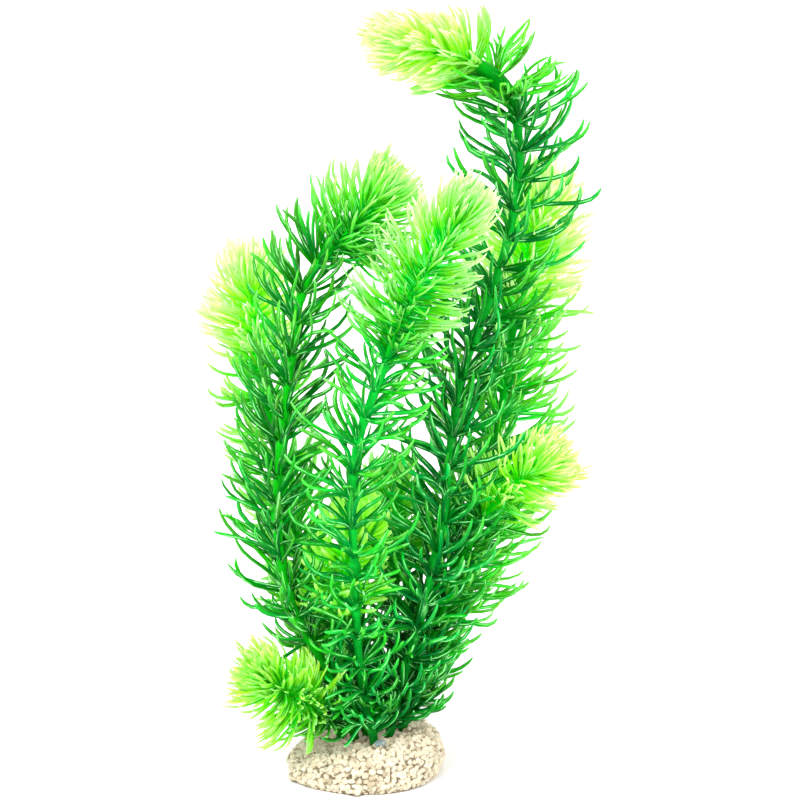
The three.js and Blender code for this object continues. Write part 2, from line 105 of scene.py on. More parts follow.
LENGTH_BENDS = (Bend.CURLED_UP, Bend.ESS, Bend.ARCHED_OUT, Bend.HOOKED)


# Small helpers for modelling

def deselect_everything() -> None:
    """Leaves nothing selected, so that the next operator acts on the new piece alone."""
    if bpy.context.mode != "OBJECT":
        bpy.ops.object.mode_set(mode="OBJECT")
    bpy.ops.object.select_all(action="DESELECT")


def linked(name: str, data: bpy.types.ID) -> bpy.types.Object:
    """Makes an object of some data and links it to the scene."""
    thing = bpy.data.objects.new(name, data)
    bpy.context.scene.collection.objects.link(thing)
    return thing


def piece_from(name: str, points: np.ndarray, faces: Faces, smooth: bool = True) -> bpy.types.Object:
    """Makes an object of points and faces.

    Args:
        name: the object's name.
        points: an array of n by 3, in metres.
        faces: tuples of point numbers, counted so that the face points outwards.
        smooth: whether the faces are shaded smooth.

    Returns:
        The new object, linked to the scene.
    """
    mesh = bpy.data.meshes.new(name)
    mesh.from_pydata(points.tolist(), [], faces)
    mesh.polygons.foreach_set("use_smooth", [smooth] * len(mesh.polygons))
    mesh.update()
    return linked(name, mesh)


def taken_apart(thing: bpy.types.Object, weld: float = 0.0) -> tuple[np.ndarray, Faces]:
    """Closes a pattern piece that is in edit mode, reads its mesh and deletes it.

    Args:
        thing: the pattern piece.
        weld: how close together corners are merged, or 0 to merge none.

    Returns:
        Its points as an array of n by 3, and its faces, which point outwards.
    """
    bpy.ops.mesh.select_all(action="SELECT")
    if weld > 0:
        bpy.ops.mesh.remove_doubles(threshold=weld)
    bpy.ops.mesh.normals_make_consistent(inside=False)
    bpy.ops.object.mode_set(mode="OBJECT")
    mesh = thing.data
    points = np.empty(len(mesh.vertices) * 3)
    mesh.vertices.foreach_get("co", points)
    faces = [tuple(face.vertices) for face in mesh.polygons]
    bpy.data.objects.remove(thing)
    bpy.data.meshes.remove(mesh)
    return points.reshape(-1, 3), faces


def merged_solid(node: str) -> bmesh.types.BMesh:
    """Copies a solid and joins its loose triangles."""
    merged = bmesh.new()
    merged.from_mesh(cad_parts[node].data)
    bmesh.ops.remove_doubles(merged, verts=merged.verts, dist=SAME_CORNER)
    return merged


def add_attributes(thing: bpy.types.Object, rows: dict[str, list[np.ndarray]]) -> None:
    """Stores numbers for each point of a piece, for its material to read.

    Args:
        thing: the piece.
        rows: the numbers under each attribute's name, in parts that follow one another.
    """
    for name, parts in rows.items():
        made = thing.data.attributes.new(name, "FLOAT", "POINT")
        made.data.foreach_set("value", np.concatenate(parts).astype(np.float32))


def unit(rows: np.ndarray) -> np.ndarray:
    """Scales each row of an array to length one."""
    return rows / np.maximum(np.linalg.norm(rows, axis=-1, keepdims=True), NEARLY_ZERO)


def leaning(root: np.ndarray, axis: np.ndarray, out: np.ndarray, lean: float, reach: float) -> Chord:
    """Lays a leaf's chord from its root.

    Args:
        root: where the leaf starts.
        axis: the direction from which it leans.
        out: the direction towards which it leans, square to the axis.
        lean: how far it leans, in degrees.
        reach: how long it is.

    Returns:
        The root and the tip.
    """
    angle = math.radians(lean)
    return root, root + reach * (axis * math.cos(angle) + out * math.sin(angle))


# Finishes

class Nodes:
    """A tree of shader nodes that are added and wired by name."""

    def __init__(self, tree: bpy.types.NodeTree) -> None:
        """Takes up a node tree."""
        self.nodes = tree.nodes
        self.links = tree.links

    def run(self, kind: str, output: str | int, inputs: dict[str | int, Feed] | None = None,
            **values: object) -> Socket:
        """Adds a node and feeds it.

        Args:
            kind: the node's Blender type.
            output: the name or number of the output that is wanted.
            inputs: a socket to wire, a number or a colour under each input's name or number.
            **values: the node's own properties by name.

        Returns:
            The output's socket.
        """
        node = self.nodes.new(kind)
        for key, value in values.items():
            setattr(node, key, value)
        for key, value in (inputs or {}).items():
            if isinstance(value, Socket):
                self.links.new(value, node.inputs[key])
            elif isinstance(value, tuple):
                node.inputs[key].default_value = (*value, 1.0)
            else:
                node.inputs[key].default_value = value
        return node.outputs[output]

    def math(self, operation: str, *values: Socket | float) -> Socket:
        """Works out a number from sockets and plain numbers."""
        return self.run("ShaderNodeMath", 0, dict(enumerate(values)), operation=operation)

    def mixed(self, share: Socket, first: Socket, second: Socket | Colour) -> Socket:
        """Mixes two colours, by the share of the second one from 0 to 1."""
        colours = {"Factor": share, "A": first, "B": second}
        return self.run("ShaderNodeMix", "Result", colours, data_type="RGBA")

    def ranged(self, source: Socket, start: Span, end: Span) -> Socket:
        """Maps a number from one span to another and holds it there."""
        ends = {"From Min": start[0], "From Max": start[1], "To Min": end[0], "To Max": end[1]}
        return self.run("ShaderNodeMapRange", "Result", {"Value": source, **ends})

    def ramp(self, source: Socket, stops: list[tuple[float, Colour]]) -> Socket:
        """Runs a number through a row of colours.

        Args:
            source: the number's socket.
            stops: each colour's place from 0 to 1, and the colour.

        Returns:
            The socket of the colour.
        """
        colour = self.run("ShaderNodeValToRGB", "Color", {"Fac": source})
        elements = colour.node.color_ramp.elements
        while len(elements) < len(stops):
            elements.new(0.5)
        for element, (place, shade) in zip(elements, stops):
            element.position = place
            element.color = (*shade, 1.0)
        return colour

    def attribute(self, name: str) -> Socket:
        """Reads a number stored at the piece's points."""
        return self.run("ShaderNodeAttribute", "Fac", attribute_name=name)

    def noise(self, scale: float, detail: float = 3.0) -> Socket:
        """Lays a noise pattern of a size, in repeats a metre, on the piece's own coordinates."""
        place = self.run("ShaderNodeTexCoord", "Object")
        return self.run("ShaderNodeTexNoise", "Fac", {"Scale": scale, "Detail": detail, "Vector": place})

    def cracks(self, scale: float) -> Socket:
        """Gives the distance to the nearest edge of a pattern of cells, on the piece's own coordinates."""
        place = self.run("ShaderNodeTexCoord", "Object")
        return self.run("ShaderNodeTexVoronoi", "Distance", {"Scale": scale, "Vector": place},
                        feature="DISTANCE_TO_EDGE")

    def relief(self, height: Socket, strength: float, depth: float) -> Socket:
        """Turns a height into small relief, no deeper than a number of metres."""
        sizes = {"Strength": strength, "Distance": depth}
        return self.run("ShaderNodeBump", "Normal", {"Height": height, **sizes})


class Sheet(Nodes):
    """A material's node tree, with its shader ready to be wired."""

    def __init__(self, name: str) -> None:
        """Starts a material of one Principled shader."""
        self.material = bpy.data.materials.new(name)
        self.material.use_nodes = True
        super().__init__(self.material.node_tree)
        self.shader = self.nodes["Principled BSDF"]

    def set(self, **values: Socket | float | tuple[float, ...]) -> None:
        """Wires or sets the shader's own sockets.

        Args:
            **values: a socket, a number or a colour for each, named with underscores for spaces.
        """
        for key, value in values.items():
            end = self.shader.inputs[key.replace("_", " ")]
            if isinstance(value, Socket):
                self.links.new(value, end)
            else:
                end.default_value = value


@dataclass(frozen=True)
class PlasticFinish:
    """Soft glossy plastic, deep green on old leaves and lime to nearly white at the tips of young ones, with
    painted shade on the leaf edges, a painted highlight line and a painted glow.

    Args:
        slot: the finish.
        stem: the colour of the stem, and of an old leaf's very root.
        old: an old leaf's colours near its root and at its tip.
        young: a young leaf's colours at its root, in its middle and at its tip.
        soaked: how much light soaks through the plastic.
        young_glow: how strongly the youngest leaves glow, a painted glow that brightens them where they lie
            in shade.
    """

    slot: Slot
    stem: Colour
    old: tuple[Colour, Colour]
    young: tuple[Colour, Colour, Colour]
    soaked: float
    young_glow: float = 0.2
    soak_depth: float = 2.2 * MM
    soak_colour: Colour = (0.4, 1.0, 0.25)
    roughness: Span = (0.08, 0.26)
    refraction: float = 1.45
    shine: float = 0.11
    shine_tint: tuple[float, ...] = (0.3, 1.0, 0.25, 1.0)
    rough_scale: float = 420.0
    rough_span: Span = (0.3, 0.7)
    pitting: float = 0.7
    pit_scale: float = 650.0
    pit_depth: float = 0.4 * MM
    old_root_share: float = 0.03
    old_tip_share: float = 0.3
    young_shares: tuple[float, float, float] = (0.24, 0.52, 0.94)
    tint_values: Span = (0.4, 1.6)
    patch_span: Span = (0.35, 0.65)
    mottle: float = 0.18
    mottle_scale: float = 140.0
    mottle_green: Colour = (0.0, 0.1, 0.0)
    # Painted shade along each leaf's two edges
    edge_shade: float = 0.5
    edge_span: Span = (0.5, 0.95)
    edge_green: Colour = (0.0, 0.1, 0.02)
    # Painted highlight: a pale line along each leaf's middle, mixed into the colour and made to glow
    glint: float = 0.75
    glint_span: Span = (0.09, 0.28)
    glint_wander: Span = (-0.35, 0.35)
    glint_wander_scale: float = 60.0
    glint_break: Span = (0.44, 0.6)
    glint_break_scale: float = 170.0
    glint_glow: float = 0.45
    glint_green: Colour = (0.36, 0.98, 0.36)
    # Painted glow of young leaves, weaker towards their roots
    glow_youth: Span = (0.15, 1.0)
    glow_share: Span = (0.05, 0.55)
    root_glow: float = 0.6

    def run_of_colours(self, sheet: Sheet) -> Socket:
        """Colours each leaf from its root to its tip, by how young it is, and mottles it.

        Args:
            sheet: the material's nodes.

        Returns:
            The colour.
        """
        share = sheet.attribute("leaf_share")
        old_root, old_tip = self.old
        young_root, young_middle, young_tip = self.young
        root_share, middle_share, tip_share = self.young_shares
        # Old leaves run from a darker root to a lighter tip: partly the plastic's own colour, partly painted
        # shade deep in the bunch
        old = sheet.ramp(share, [
            (0.0, self.stem), (self.old_root_share, old_root), (self.old_tip_share, old_root), (1.0, old_tip),
        ])
        young = sheet.ramp(share, [
            (0.0, young_root), (root_share, young_root), (middle_share, young_middle), (tip_share, young_tip),
        ])
        colour = sheet.mixed(sheet.attribute("youth"), old, young)
        mottle = sheet.ranged(sheet.noise(self.mottle_scale), self.patch_span, (0.0, self.mottle))
        return sheet.mixed(mottle, colour, self.mottle_green)

    def tinted(self, sheet: Sheet, colour: Socket) -> Socket:
        """Gives each leaf its own hue and lightness; the lightness carries painted shade near the gravel and
        painted light on heads in shade.
        """
        value = sheet.ranged(sheet.attribute("leaf_tint_and_painted_light"), (0.0, 1.0), self.tint_values)
        return sheet.run("ShaderNodeHueSaturation", "Color",
                         {"Hue": sheet.attribute("leaf_hue"), "Value": value, "Color": colour})

    def edge_shaded(self, sheet: Sheet, colour: Socket) -> Socket:
        """Paints shade along each leaf's two edges, where its round sides turn away from the light.

        Args:
            sheet: the material's nodes.
            colour: the colour so far.

        Returns:
            The darkened colour.
        """
        from_middle = sheet.math("ABSOLUTE", sheet.attribute("leaf_across"))
        edge = sheet.ranged(from_middle, self.edge_span, (0.0, self.edge_shade))
        return sheet.mixed(edge, colour, self.edge_green)

    def painted_glint_line(self, sheet: Sheet) -> Socket:
        """Draws a painted highlight: a broken pale line that wanders along each leaf's middle.

        Args:
            sheet: the material's nodes.

        Returns:
            The painted highlight's strength.
        """
        wander = sheet.ranged(sheet.noise(self.glint_wander_scale), self.patch_span, self.glint_wander)
        off_line = sheet.math("ABSOLUTE", sheet.math("ADD", sheet.attribute("leaf_across"), wander))
        line = sheet.ranged(off_line, self.glint_span, (self.glint, 0.0))
        kept = sheet.ranged(sheet.noise(self.glint_break_scale), self.glint_break, (0.0, 1.0))
        return sheet.math("MULTIPLY", line, kept)

    def painted_glow_strength(self, sheet: Sheet, line: Socket) -> Socket:
        """Adds up the painted glow of the pale line and of young leaves, which is weaker towards their roots.

        Args:
            sheet: the material's nodes.
            line: the pale line's strength.

        Returns:
            The strength of the painted glow.
        """
        youth = sheet.ranged(sheet.attribute("youth"), self.glow_youth, (0.0, self.young_glow))
        outwards = sheet.ranged(sheet.attribute("leaf_share"), self.glow_share, (self.root_glow, 1.0))
        return sheet.math("MULTIPLY_ADD", line, self.glint_glow, sheet.math("MULTIPLY", youth, outwards))

    def material(self) -> bpy.types.Material:
        """Wires the plastic's nodes.

        Returns:
            The material, which reads the leaves' share, width, tint, hue and youth.
        """
        sheet = Sheet(self.slot.value + "_plastic")
        line = self.painted_glint_line(sheet)
        colour = self.edge_shaded(sheet, self.tinted(sheet, self.run_of_colours(sheet)))
        # Painted highlight: the pale line mixed into the base colour
        colour = sheet.mixed(line, colour, self.glint_green)
        # Emission carries the painted glow of the highlight line and of young leaves
        sheet.set(
            Base_Color=colour, Emission_Color=colour, Emission_Strength=self.painted_glow_strength(sheet, line),
            Roughness=sheet.ranged(sheet.noise(self.rough_scale), self.rough_span, self.roughness),
            Normal=sheet.relief(sheet.noise(self.pit_scale, 2.0), self.pitting, self.pit_depth),
            Subsurface_Weight=self.soaked, Subsurface_Radius=self.soak_colour,
            Subsurface_Scale=self.soak_depth, IOR=self.refraction, Specular_IOR_Level=self.shine,
            Specular_Tint=self.shine_tint,
        )
        return sheet.material


PLASTICS = {
    finish.slot: finish
    for finish in (
        PlasticFinish(
            Slot.DARK_GREEN, stem=(0.004, 0.36, 0.006), old=((0.0, 0.2, 0.008), (0.0, 0.42, 0.014)),
            young=((0.0, 0.5, 0.008), (0.06, 0.8, 0.01), (0.45, 0.97, 0.14)), soaked=0.15,
        ),
        PlasticFinish(
            Slot.MID_GREEN, stem=(0.004, 0.46, 0.008), old=((0.0, 0.36, 0.008), (0.003, 0.6, 0.012)),
            young=((0.0, 0.6, 0.01), (0.16, 0.92, 0.012), (0.55, 1.0, 0.2)), soaked=0.25,
        ),
        PlasticFinish(
            Slot.BRIGHT_GREEN, stem=(0.0, 0.4, 0.01), old=((0.0, 0.38, 0.01), (0.02, 0.72, 0.014)),
            young=((0.0, 0.74, 0.004), (0.26, 1.0, 0.016), (0.68, 1.0, 0.34)), soaked=0.5, young_glow=0.36,
        ),
        PlasticFinish(
            Slot.LIME, stem=(0.0, 0.2, 0.006), old=((0.0, 0.44, 0.01), (0.04, 0.78, 0.015)),
            young=((0.008, 0.86, 0.004), (0.4, 1.0, 0.02), (0.8, 1.0, 0.5)), soaked=0.6, young_glow=0.38,
        ),
    )
}


# Stems and leaves

class Route:
    """The middle line of a stem, a centripetal curve through its waypoints, measured along its length."""

    STEP = 0.5 * MM
    SAMPLES_A_SPAN = 400

    def __init__(self, waypoints: tuple[Place, ...]) -> None:
        """Lays the curve and carries a side direction along it.

        Args:
            waypoints: right, back and up of each waypoint, in millimetres.
        """
        dense = self.curve_through(np.array(waypoints, float) * MM)
        steps = np.linalg.norm(np.diff(dense, axis=0), axis=1)
        along = np.concatenate([[0.0], np.cumsum(steps)])
        self.length = float(along[-1])
        count = int(math.ceil(self.length / self.STEP)) + 1
        self.distances = np.linspace(0.0, self.length, count)
        self.points = np.stack([np.interp(self.distances, along, column) for column in dense.T], axis=1)
        self.tangents = unit(np.gradient(self.points, axis=0))
        sides = []
        side = np.array([1.0, 0.0, 0.0])
        for tangent in self.tangents:
            side = side - tangent * side.dot(tangent)
            side = side / np.linalg.norm(side)
            sides.append(side)
        self.sides = np.array(sides)

    @classmethod
    def curve_through(cls, ends: np.ndarray) -> np.ndarray:
        """Samples the centripetal curve through a row of points.

        Args:
            ends: the points, n by 3.

        Returns:
            The samples, m by 3.
        """
        padded = np.vstack([2 * ends[0] - ends[1], ends, 2 * ends[-1] - ends[-2]])
        share = np.linspace(0.0, 1.0, cls.SAMPLES_A_SPAN, endpoint=False)[:, None]
        spans = []
        for before, start, end, after in zip(padded, padded[1:], padded[2:], padded[3:]):
            first, middle, last = (math.sqrt(np.linalg.norm(b - a))
                                   for a, b in ((before, start), (start, end), (end, after)))
            leaving = (start - before) / first - (end - before) / (first + middle) + (end - start) / middle
            arriving = (end - start) / middle - (after - start) / (middle + last) + (after - end) / last
            leaving, arriving = leaving * middle, arriving * middle
            spans.append(start + share * leaving + share ** 2 * (3 * (end - start) - 2 * leaving - arriving)
                         + share ** 3 * (2 * (start - end) + leaving + arriving))
        return np.vstack([*spans, ends[-1:]])

    def distance_of(self, place: np.ndarray) -> float:
        """How far along the stem the point nearest to a place is."""
        return float(self.distances[np.linalg.norm(self.points - place, axis=1).argmin()])

    def at(self, distance: float) -> tuple[np.ndarray, np.ndarray, np.ndarray]:
        """Gives the frame at a distance from the foot, carried straight on past either end.

        Args:
            distance: metres along the stem.

        Returns:
            The point, the direction along the stem and the side direction.
        """
        index = int(np.clip(round(distance / self.distances[1]), 0, len(self.points) - 1))
        beyond = distance - self.distances[index]
        return self.points[index] + self.tangents[index] * beyond, self.tangents[index], self.sides[index]

    def around(self, distance: float, turn: float) -> tuple[np.ndarray, np.ndarray, np.ndarray]:
        """Gives the middle point, the direction along and the way out at a turn about the stem."""
        middle, along, side = self.at(distance)
        return middle, along, side * math.cos(turn) + np.cross(along, side) * math.sin(turn)

    def beside(self, place: np.ndarray) -> tuple[float, np.ndarray, np.ndarray, np.ndarray]:
        """Gives the stem's frame beside a place near it.

        Args:
            place: the place.

        Returns:
            The distance along the stem, the middle point, the direction along and the way out to the place.
        """
        distance = self.distance_of(place)
        middle, along, _ = self.at(distance)
        outward = place - middle
        return distance, middle, along, unit(outward - along * outward.dot(along))


@dataclass
class LeafShape:
    """One leaf, modelled straight up at its real size and then bent along every leaf of the bunch."""

    length: float = 28 * MM
    half_width: float = 0.8 * MM
    half_thickness: float = 0.5 * MM
    corners: int = 6
    profile: tuple[Span, ...] = (
        (0.1, 0.8), (0.24, 0.96), (0.42, 1.0), (0.6, 1.0), (0.76, 0.97), (0.89, 0.82), (0.965, 0.5),
        (1.0, 0.06),
    )
    root_width: float = 0.65
    shares: np.ndarray = field(init=False)
    across: np.ndarray = field(init=False)
    deep: np.ndarray = field(init=False)
    faces: Faces = field(init=False)

    def model(self) -> None:
        """Draws the leaf out of a flat ring, section by section, and keeps its points and faces."""
        deselect_everything()
        bpy.ops.mesh.primitive_circle_add(vertices=self.corners, radius=self.half_width * self.root_width,
                                          fill_type="NGON")
        leaf = bpy.context.object
        bpy.ops.object.mode_set(mode="EDIT")
        bpy.ops.mesh.select_all(action="SELECT")
        bpy.ops.transform.resize(value=(1.0, self.half_thickness / self.half_width, 1.0))
        last_place, last_width = 0.0, self.root_width
        for place, width in self.profile:
            bpy.ops.mesh.extrude_region_move(
                TRANSFORM_OT_translate={"value": (0.0, 0.0, (place - last_place) * self.length)})
            grown = width / last_width
            bpy.ops.transform.resize(value=(grown, grown, 1.0))
            last_place, last_width = place, width
        points, self.faces = taken_apart(leaf)
        self.shares = points[:, 2] / self.length
        self.across = points[:, 0] / self.half_width
        self.deep = points[:, 1] / self.half_thickness


@dataclass
class Leaf:
    """One leaf of the bunch.

    Args:
        root: the middle of its root.
        tip: its point.
        leaving: its direction at the root.
        arriving: its direction at the tip.
        sideways: the direction square to the stem and to the way out.
        width: its greatest width.
        thickness: its greatest thickness.
        roll: how far it is turned about its own line at the root, in radians.
        twist: how much further it is turned at the tip.
        tint: how light it is, from 0 to 1, including painted shade near the gravel and painted light on heads
            in shade.
        hue: its hue, with 0.5 for the finish's own.
        youth: how young it is, from 0 to 1.
        root_spread: how many times wider it is right at its root.
    """

    root: np.ndarray
    tip: np.ndarray
    leaving: np.ndarray
    arriving: np.ndarray
    sideways: np.ndarray
    width: float
    thickness: float
    roll: float
    twist: float
    tint: float
    hue: float
    youth: float
    root_spread: float = 1.0

    ROOT_PULL = 0.4
    TIP_PULL = 0.38
    SPREAD_END = 0.3

    def curve(self, shares: np.ndarray) -> Chord:
        """Follows the leaf's middle line.

        Args:
            shares: places along the leaf from 0 to 1.

        Returns:
            The points and the directions there.
        """
        reach = np.linalg.norm(self.tip - self.root)
        controls = (self.root, self.root + self.leaving * reach * self.ROOT_PULL,
                    self.tip - self.arriving * reach * self.TIP_PULL, self.tip)
        t = shares[:, None]
        weights = ((1 - t) ** 3, 3 * t * (1 - t) ** 2, 3 * t ** 2 * (1 - t), t ** 3)
        points = sum(weight * control for weight, control in zip(weights, controls))
        slopes = (3 * (1 - t) ** 2, 6 * t * (1 - t), 3 * t ** 2)
        directions = sum(slope * (after - before)
                         for slope, before, after in zip(slopes, controls, controls[1:]))
        return points, unit(directions)

    def bent(self, shape: LeafShape) -> np.ndarray:
        """Bends the leaf shape along the curve.

        Args:
            shape: the straight leaf.

        Returns:
            The bent leaf's points.
        """
        points, directions = self.curve(shape.shares)
        edge = unit(np.cross(self.sideways, directions))
        flat = np.cross(directions, edge)
        angle = (self.roll + self.twist * shape.shares)[:, None]
        across = edge * np.cos(angle) + flat * np.sin(angle)
        deep = flat * np.cos(angle) - edge * np.sin(angle)
        flare = 1 + (self.root_spread - 1) * np.clip(1 - shape.shares / self.SPREAD_END, 0, 1)
        return (points + across * (shape.across * flare * self.width / 2)[:, None]
                + deep * (shape.deep * self.thickness / 2)[:, None])


@dataclass(frozen=True)
class Look:
    """How the leaves of a length or a head stand, and how they lean in hue.

    Args:
        widths: the narrowest and the widest leaf, in millimetres.
        density: how many leaves there are between the solid's, for each of those.
        upright: 0 where the leaves lean out from the stem, and 1 where they lean out from the vertical.
        hue: the turn of the leaves' hue, towards blue above 0 and towards yellow below.
        bends_left: the shares of leaves on the left that curl up, run in an S, arch out and end in a hook.
        bends_right: the same on the right.
        right_reach: how much of their length the leaves on the right keep, at the lower and at the upper end.
        bare_share: how much of a head, from its lower end, is nearly bare like a length.
        bare_swelling: how much thicker the stem is there, in millimetres.
        stem_tint: how light the stem is, from 0 to 1.
        brightness: how much lighter the leaves are than most, on the same scale; painted light that brightens
            heads lying in shade.
        low_left_stretch: how much longer the steep leaves on the left grow down at the gravel.
        colour_run: the part of the finish's run of colours, from root to tip, that the leaves show.
        green_front: how much less young the leaves at the front are.
    """

    widths: Span = (1.4, 1.9)
    density: float = 1.0
    upright: float = 0.0
    hue: float = 0.0
    bends_left: Shares = (0.4, 0.3, 0.2, 0.1)
    bends_right: Shares = (0.4, 0.3, 0.2, 0.1)
    right_reach: Span = (1.0, 1.0)
    bare_share: float = 0.0
    bare_swelling: float = 0.0
    stem_tint: float = 0.6
    brightness: float = 0.0
    low_left_stretch: float = 0.0
    colour_run: Span = (0.0, 1.0)
    green_front: float = 0.1


@dataclass(frozen=True)
class Variety:
    """How much leaves differ from one to the next: the lowest and the highest of each number."""

    head_root_spread: Span = (1.5, 2.2)
    length_root_spread: Span = (1.02, 1.2)
    sway: Span = (-0.25, 0.25)
    tint: Span = (0.25, 0.75)
    flatness: Span = (0.6, 0.85)
    roll: Span = (-35, 35)
    twist: Span = (-40, 40)
    hue: Span = (-0.012, 0.012)
    youth: Span = (-0.1, 0.1)
    fork_place: Span = (0.14, 0.34)
    between_share: Span = (0.15, 0.85)
    between_reach: Span = (0.78, 1.06)
    crown_reach: Span = (0.72, 0.93)
    steep_turn: Span = (-0.6, 0.6)
    steep_shift: Span = (-1.5, 1.5)
    steep_lean: Span = (20, 60)
    steep_reach: Span = (0.75, 1.0)
    collar_shift: Span = (0, 8)
    collar_lean: Span = (24, 62)
    collar_reach: Span = (15, 23)
    foot_shift: Span = (0, 9)
    foot_lean_left: Span = (25, 88)
    foot_lean_right: Span = (25, 48)
    foot_reach_left: Span = (12, 26)
    foot_reach_right: Span = (12, 17)


VARIETY = Variety()


@dataclass
class Moulding:
    """One moulding of a stem: a length between two joints, or a head.

    Args:
        node: the name of its solid, and of the piece.
        route: the middle line of its stem.
        habit: a spaced length or a crowded head.
        slot: the finish.
        youth: how young its leaves are at its lower and at its upper end, from 0 to 1.
        look: how its leaves stand.
        seed: the start of its run of random numbers.
    """

    node: str
    route: Route
    habit: Habit
    slot: Slot
    youth: Span
    look: Look
    seed: int
    stem_radius: float = 1.7 * MM
    stem_step: float = 0.8 * MM
    stem_youth: float = 0.4
    stem_across: float = 0.5
    bar_resolution: int = 4
    foot_end: float = 1 * MM
    leaf_corners: int = 4
    shortest_leaf: float = 4 * MM
    skin_corners: int = 8
    skin_spacing: float = 3 * MM
    head_end_radius: float = 1.0 * MM
    head_swelling: float = 0.35 * MM
    bare_swelling_run: float = 1.4
    bare_youth_start: float = 0.85
    bare_youth_run: float = 0.55
    sleeve_radius: float = 2.6 * MM
    sleeve_length: float = 4 * MM
    sleeve_taper: float = 1.6 * MM
    peg_radius: float = 1.1 * MM
    peg_length: float = 3.6 * MM
    peg_gap: float = 0.4 * MM
    peg_step: float = 0.02 * MM
    whorl_swelling: float = 0.3 * MM
    whorl_half: float = 2.2 * MM
    weld: float = 0.005 * MM
    plain_hue: float = 0.5
    least_lean: float = 8.0
    fork_share: float = 0.4
    fork_bend: float = 0.7
    whorl_gap: float = 2 * MM
    between_gap: float = 6.5 * MM
    between_likeness: float = 0.72
    bare_density: float = 0.8
    extra_low_down: float = 2.0
    low_down: float = 120 * MM
    left_side: float = -0.2
    low_left_lean: float = 50.0
    crown_count: int = 110
    crown_depth: float = 14 * MM
    crown_lean: float = 32.0
    crown_sunk: float = 0.8
    sunk: float = 0.9
    collar_count: int = 26
    foot_leaves: int = 30
    glue_front: float = -0.5
    glue_left: float = -0.3
    gravel_top: float = 19 * MM
    # shaded_foot and foot_shade: painted shade that darkens leaves and stems towards the gravel
    shaded_foot: float = 60 * MM
    root_sunk: float = 0.6 * MM
    foot_shade: float = 0.42
    leaves: list[Leaf] = field(default_factory=list)

    @property
    def is_head(self) -> bool:
        """Tells whether the moulding is a head."""
        return self.habit is Habit.HEAD

    def solid_leaves(self) -> tuple[list[Chord], Span]:
        """Finds the solid's leaves and its two ends.

        A leaf's tip is a corner with four long edges, which run to the corners of its root. A corner of the
        skin has few edges, or a short one.

        Returns:
            Each leaf's root and tip, in order along the stem, and where the skin starts and ends along it.
        """
        merged = merged_solid(self.node)
        found = []
        skin = []
        for corner in merged.verts:
            around = [edge.other_vert(corner).co for edge in corner.link_edges]
            nearest = min((place - corner.co).length for place in around)
            if len(around) == self.leaf_corners and nearest > self.shortest_leaf:
                found.append((np.mean([tuple(place) for place in around], axis=0), np.array(corner.co)))
            elif len(around) < self.skin_corners or nearest < self.skin_spacing:
                skin.append(self.route.distance_of(np.array(corner.co)))
        merged.free()
        found.sort(key=lambda leaf: (round(self.route.distance_of(leaf[0]) / MM), tuple(leaf[1])))
        return found, (min(skin), max(skin))

    def axis_of(self, along: np.ndarray) -> np.ndarray:
        """Gives the direction from which the leaves lean out, between the stem's own and the vertical."""
        return unit(along * (1 - self.look.upright) + UP * self.look.upright)

    def youth_at(self, share: float) -> float:
        """Tells how young the moulding is at a share of its length, later where a head starts nearly bare.

        Args:
            share: the share of the length, from the lower end.

        Returns:
            How young it is, from 0 to 1.
        """
        bare = self.look.bare_share
        if bare > 0:
            grown = (share - self.bare_youth_start * bare) / (self.bare_youth_run * bare)
            share = float(np.clip(grown, 0.0, 1.0))
        return self.youth[0] + (self.youth[1] - self.youth[0]) * share

    def bend_of(self, up_share: float, out: np.ndarray, random: Random) -> tuple[Bend, float]:
        """Picks how a leaf bends.

        Args:
            up_share: how far up the moulding it stands, from 0 to 1.
            out: the direction in which it points out.
            random: the moulding's random numbers.

        Returns:
            The bend, and how many times wider the leaf is at its root.
        """
        if self.is_head and up_share > self.look.bare_share:
            return Bend.SPRAYED, random.uniform(*VARIETY.head_root_spread)
        shares = self.look.bends_left if out[0] < 0 else self.look.bends_right
        bend = LENGTH_BENDS[int(random.choice(len(LENGTH_BENDS), p=shares))]
        return bend, random.uniform(*VARIETY.length_root_spread)

    def grow_leaf(self, root: np.ndarray, tip: np.ndarray, ends: Span, random: Random) -> Leaf:
        """Shapes one leaf between its root and its tip.

        Args:
            root: the middle of its root on the stem's skin.
            tip: its point.
            ends: where the moulding starts and ends along the stem.
            random: the moulding's random numbers.

        Returns:
            The leaf.
        """
        distance, _, along, outward = self.route.beside(root)
        chord = unit(tip - root)
        up_share = (distance - ends[0]) / (ends[1] - ends[0])
        axis = self.axis_of(along)
        out = unit(chord - axis * chord.dot(axis))
        low, high = self.look.right_reach
        kept = 1 - (1 - low - (high - low) * float(np.clip(up_share, 0.0, 1.0))) * max(0.0, float(out[0]))
        tip = root + (tip - root) * kept
        sideways = np.cross(axis, out)
        lean = math.degrees(math.atan2(float(chord.dot(out)), float(chord.dot(axis))))
        width = random.uniform(*self.look.widths) * MM
        bend, root_spread = self.bend_of(up_share, out, random)
        start_lean, end_lean = (lean - random.uniform(*steeper) for steeper in bend.value)
        start_lean, end_lean = math.radians(max(start_lean, self.least_lean)), math.radians(end_lean)
        sway = random.uniform(*VARIETY.sway)
        youth = self.youth_at(up_share) * (1 - self.look.green_front * max(0.0, -float(out[1])))
        # Painted light: the look's brightness lightens heads that lie in shade
        tint = random.uniform(*VARIETY.tint) + self.look.brightness
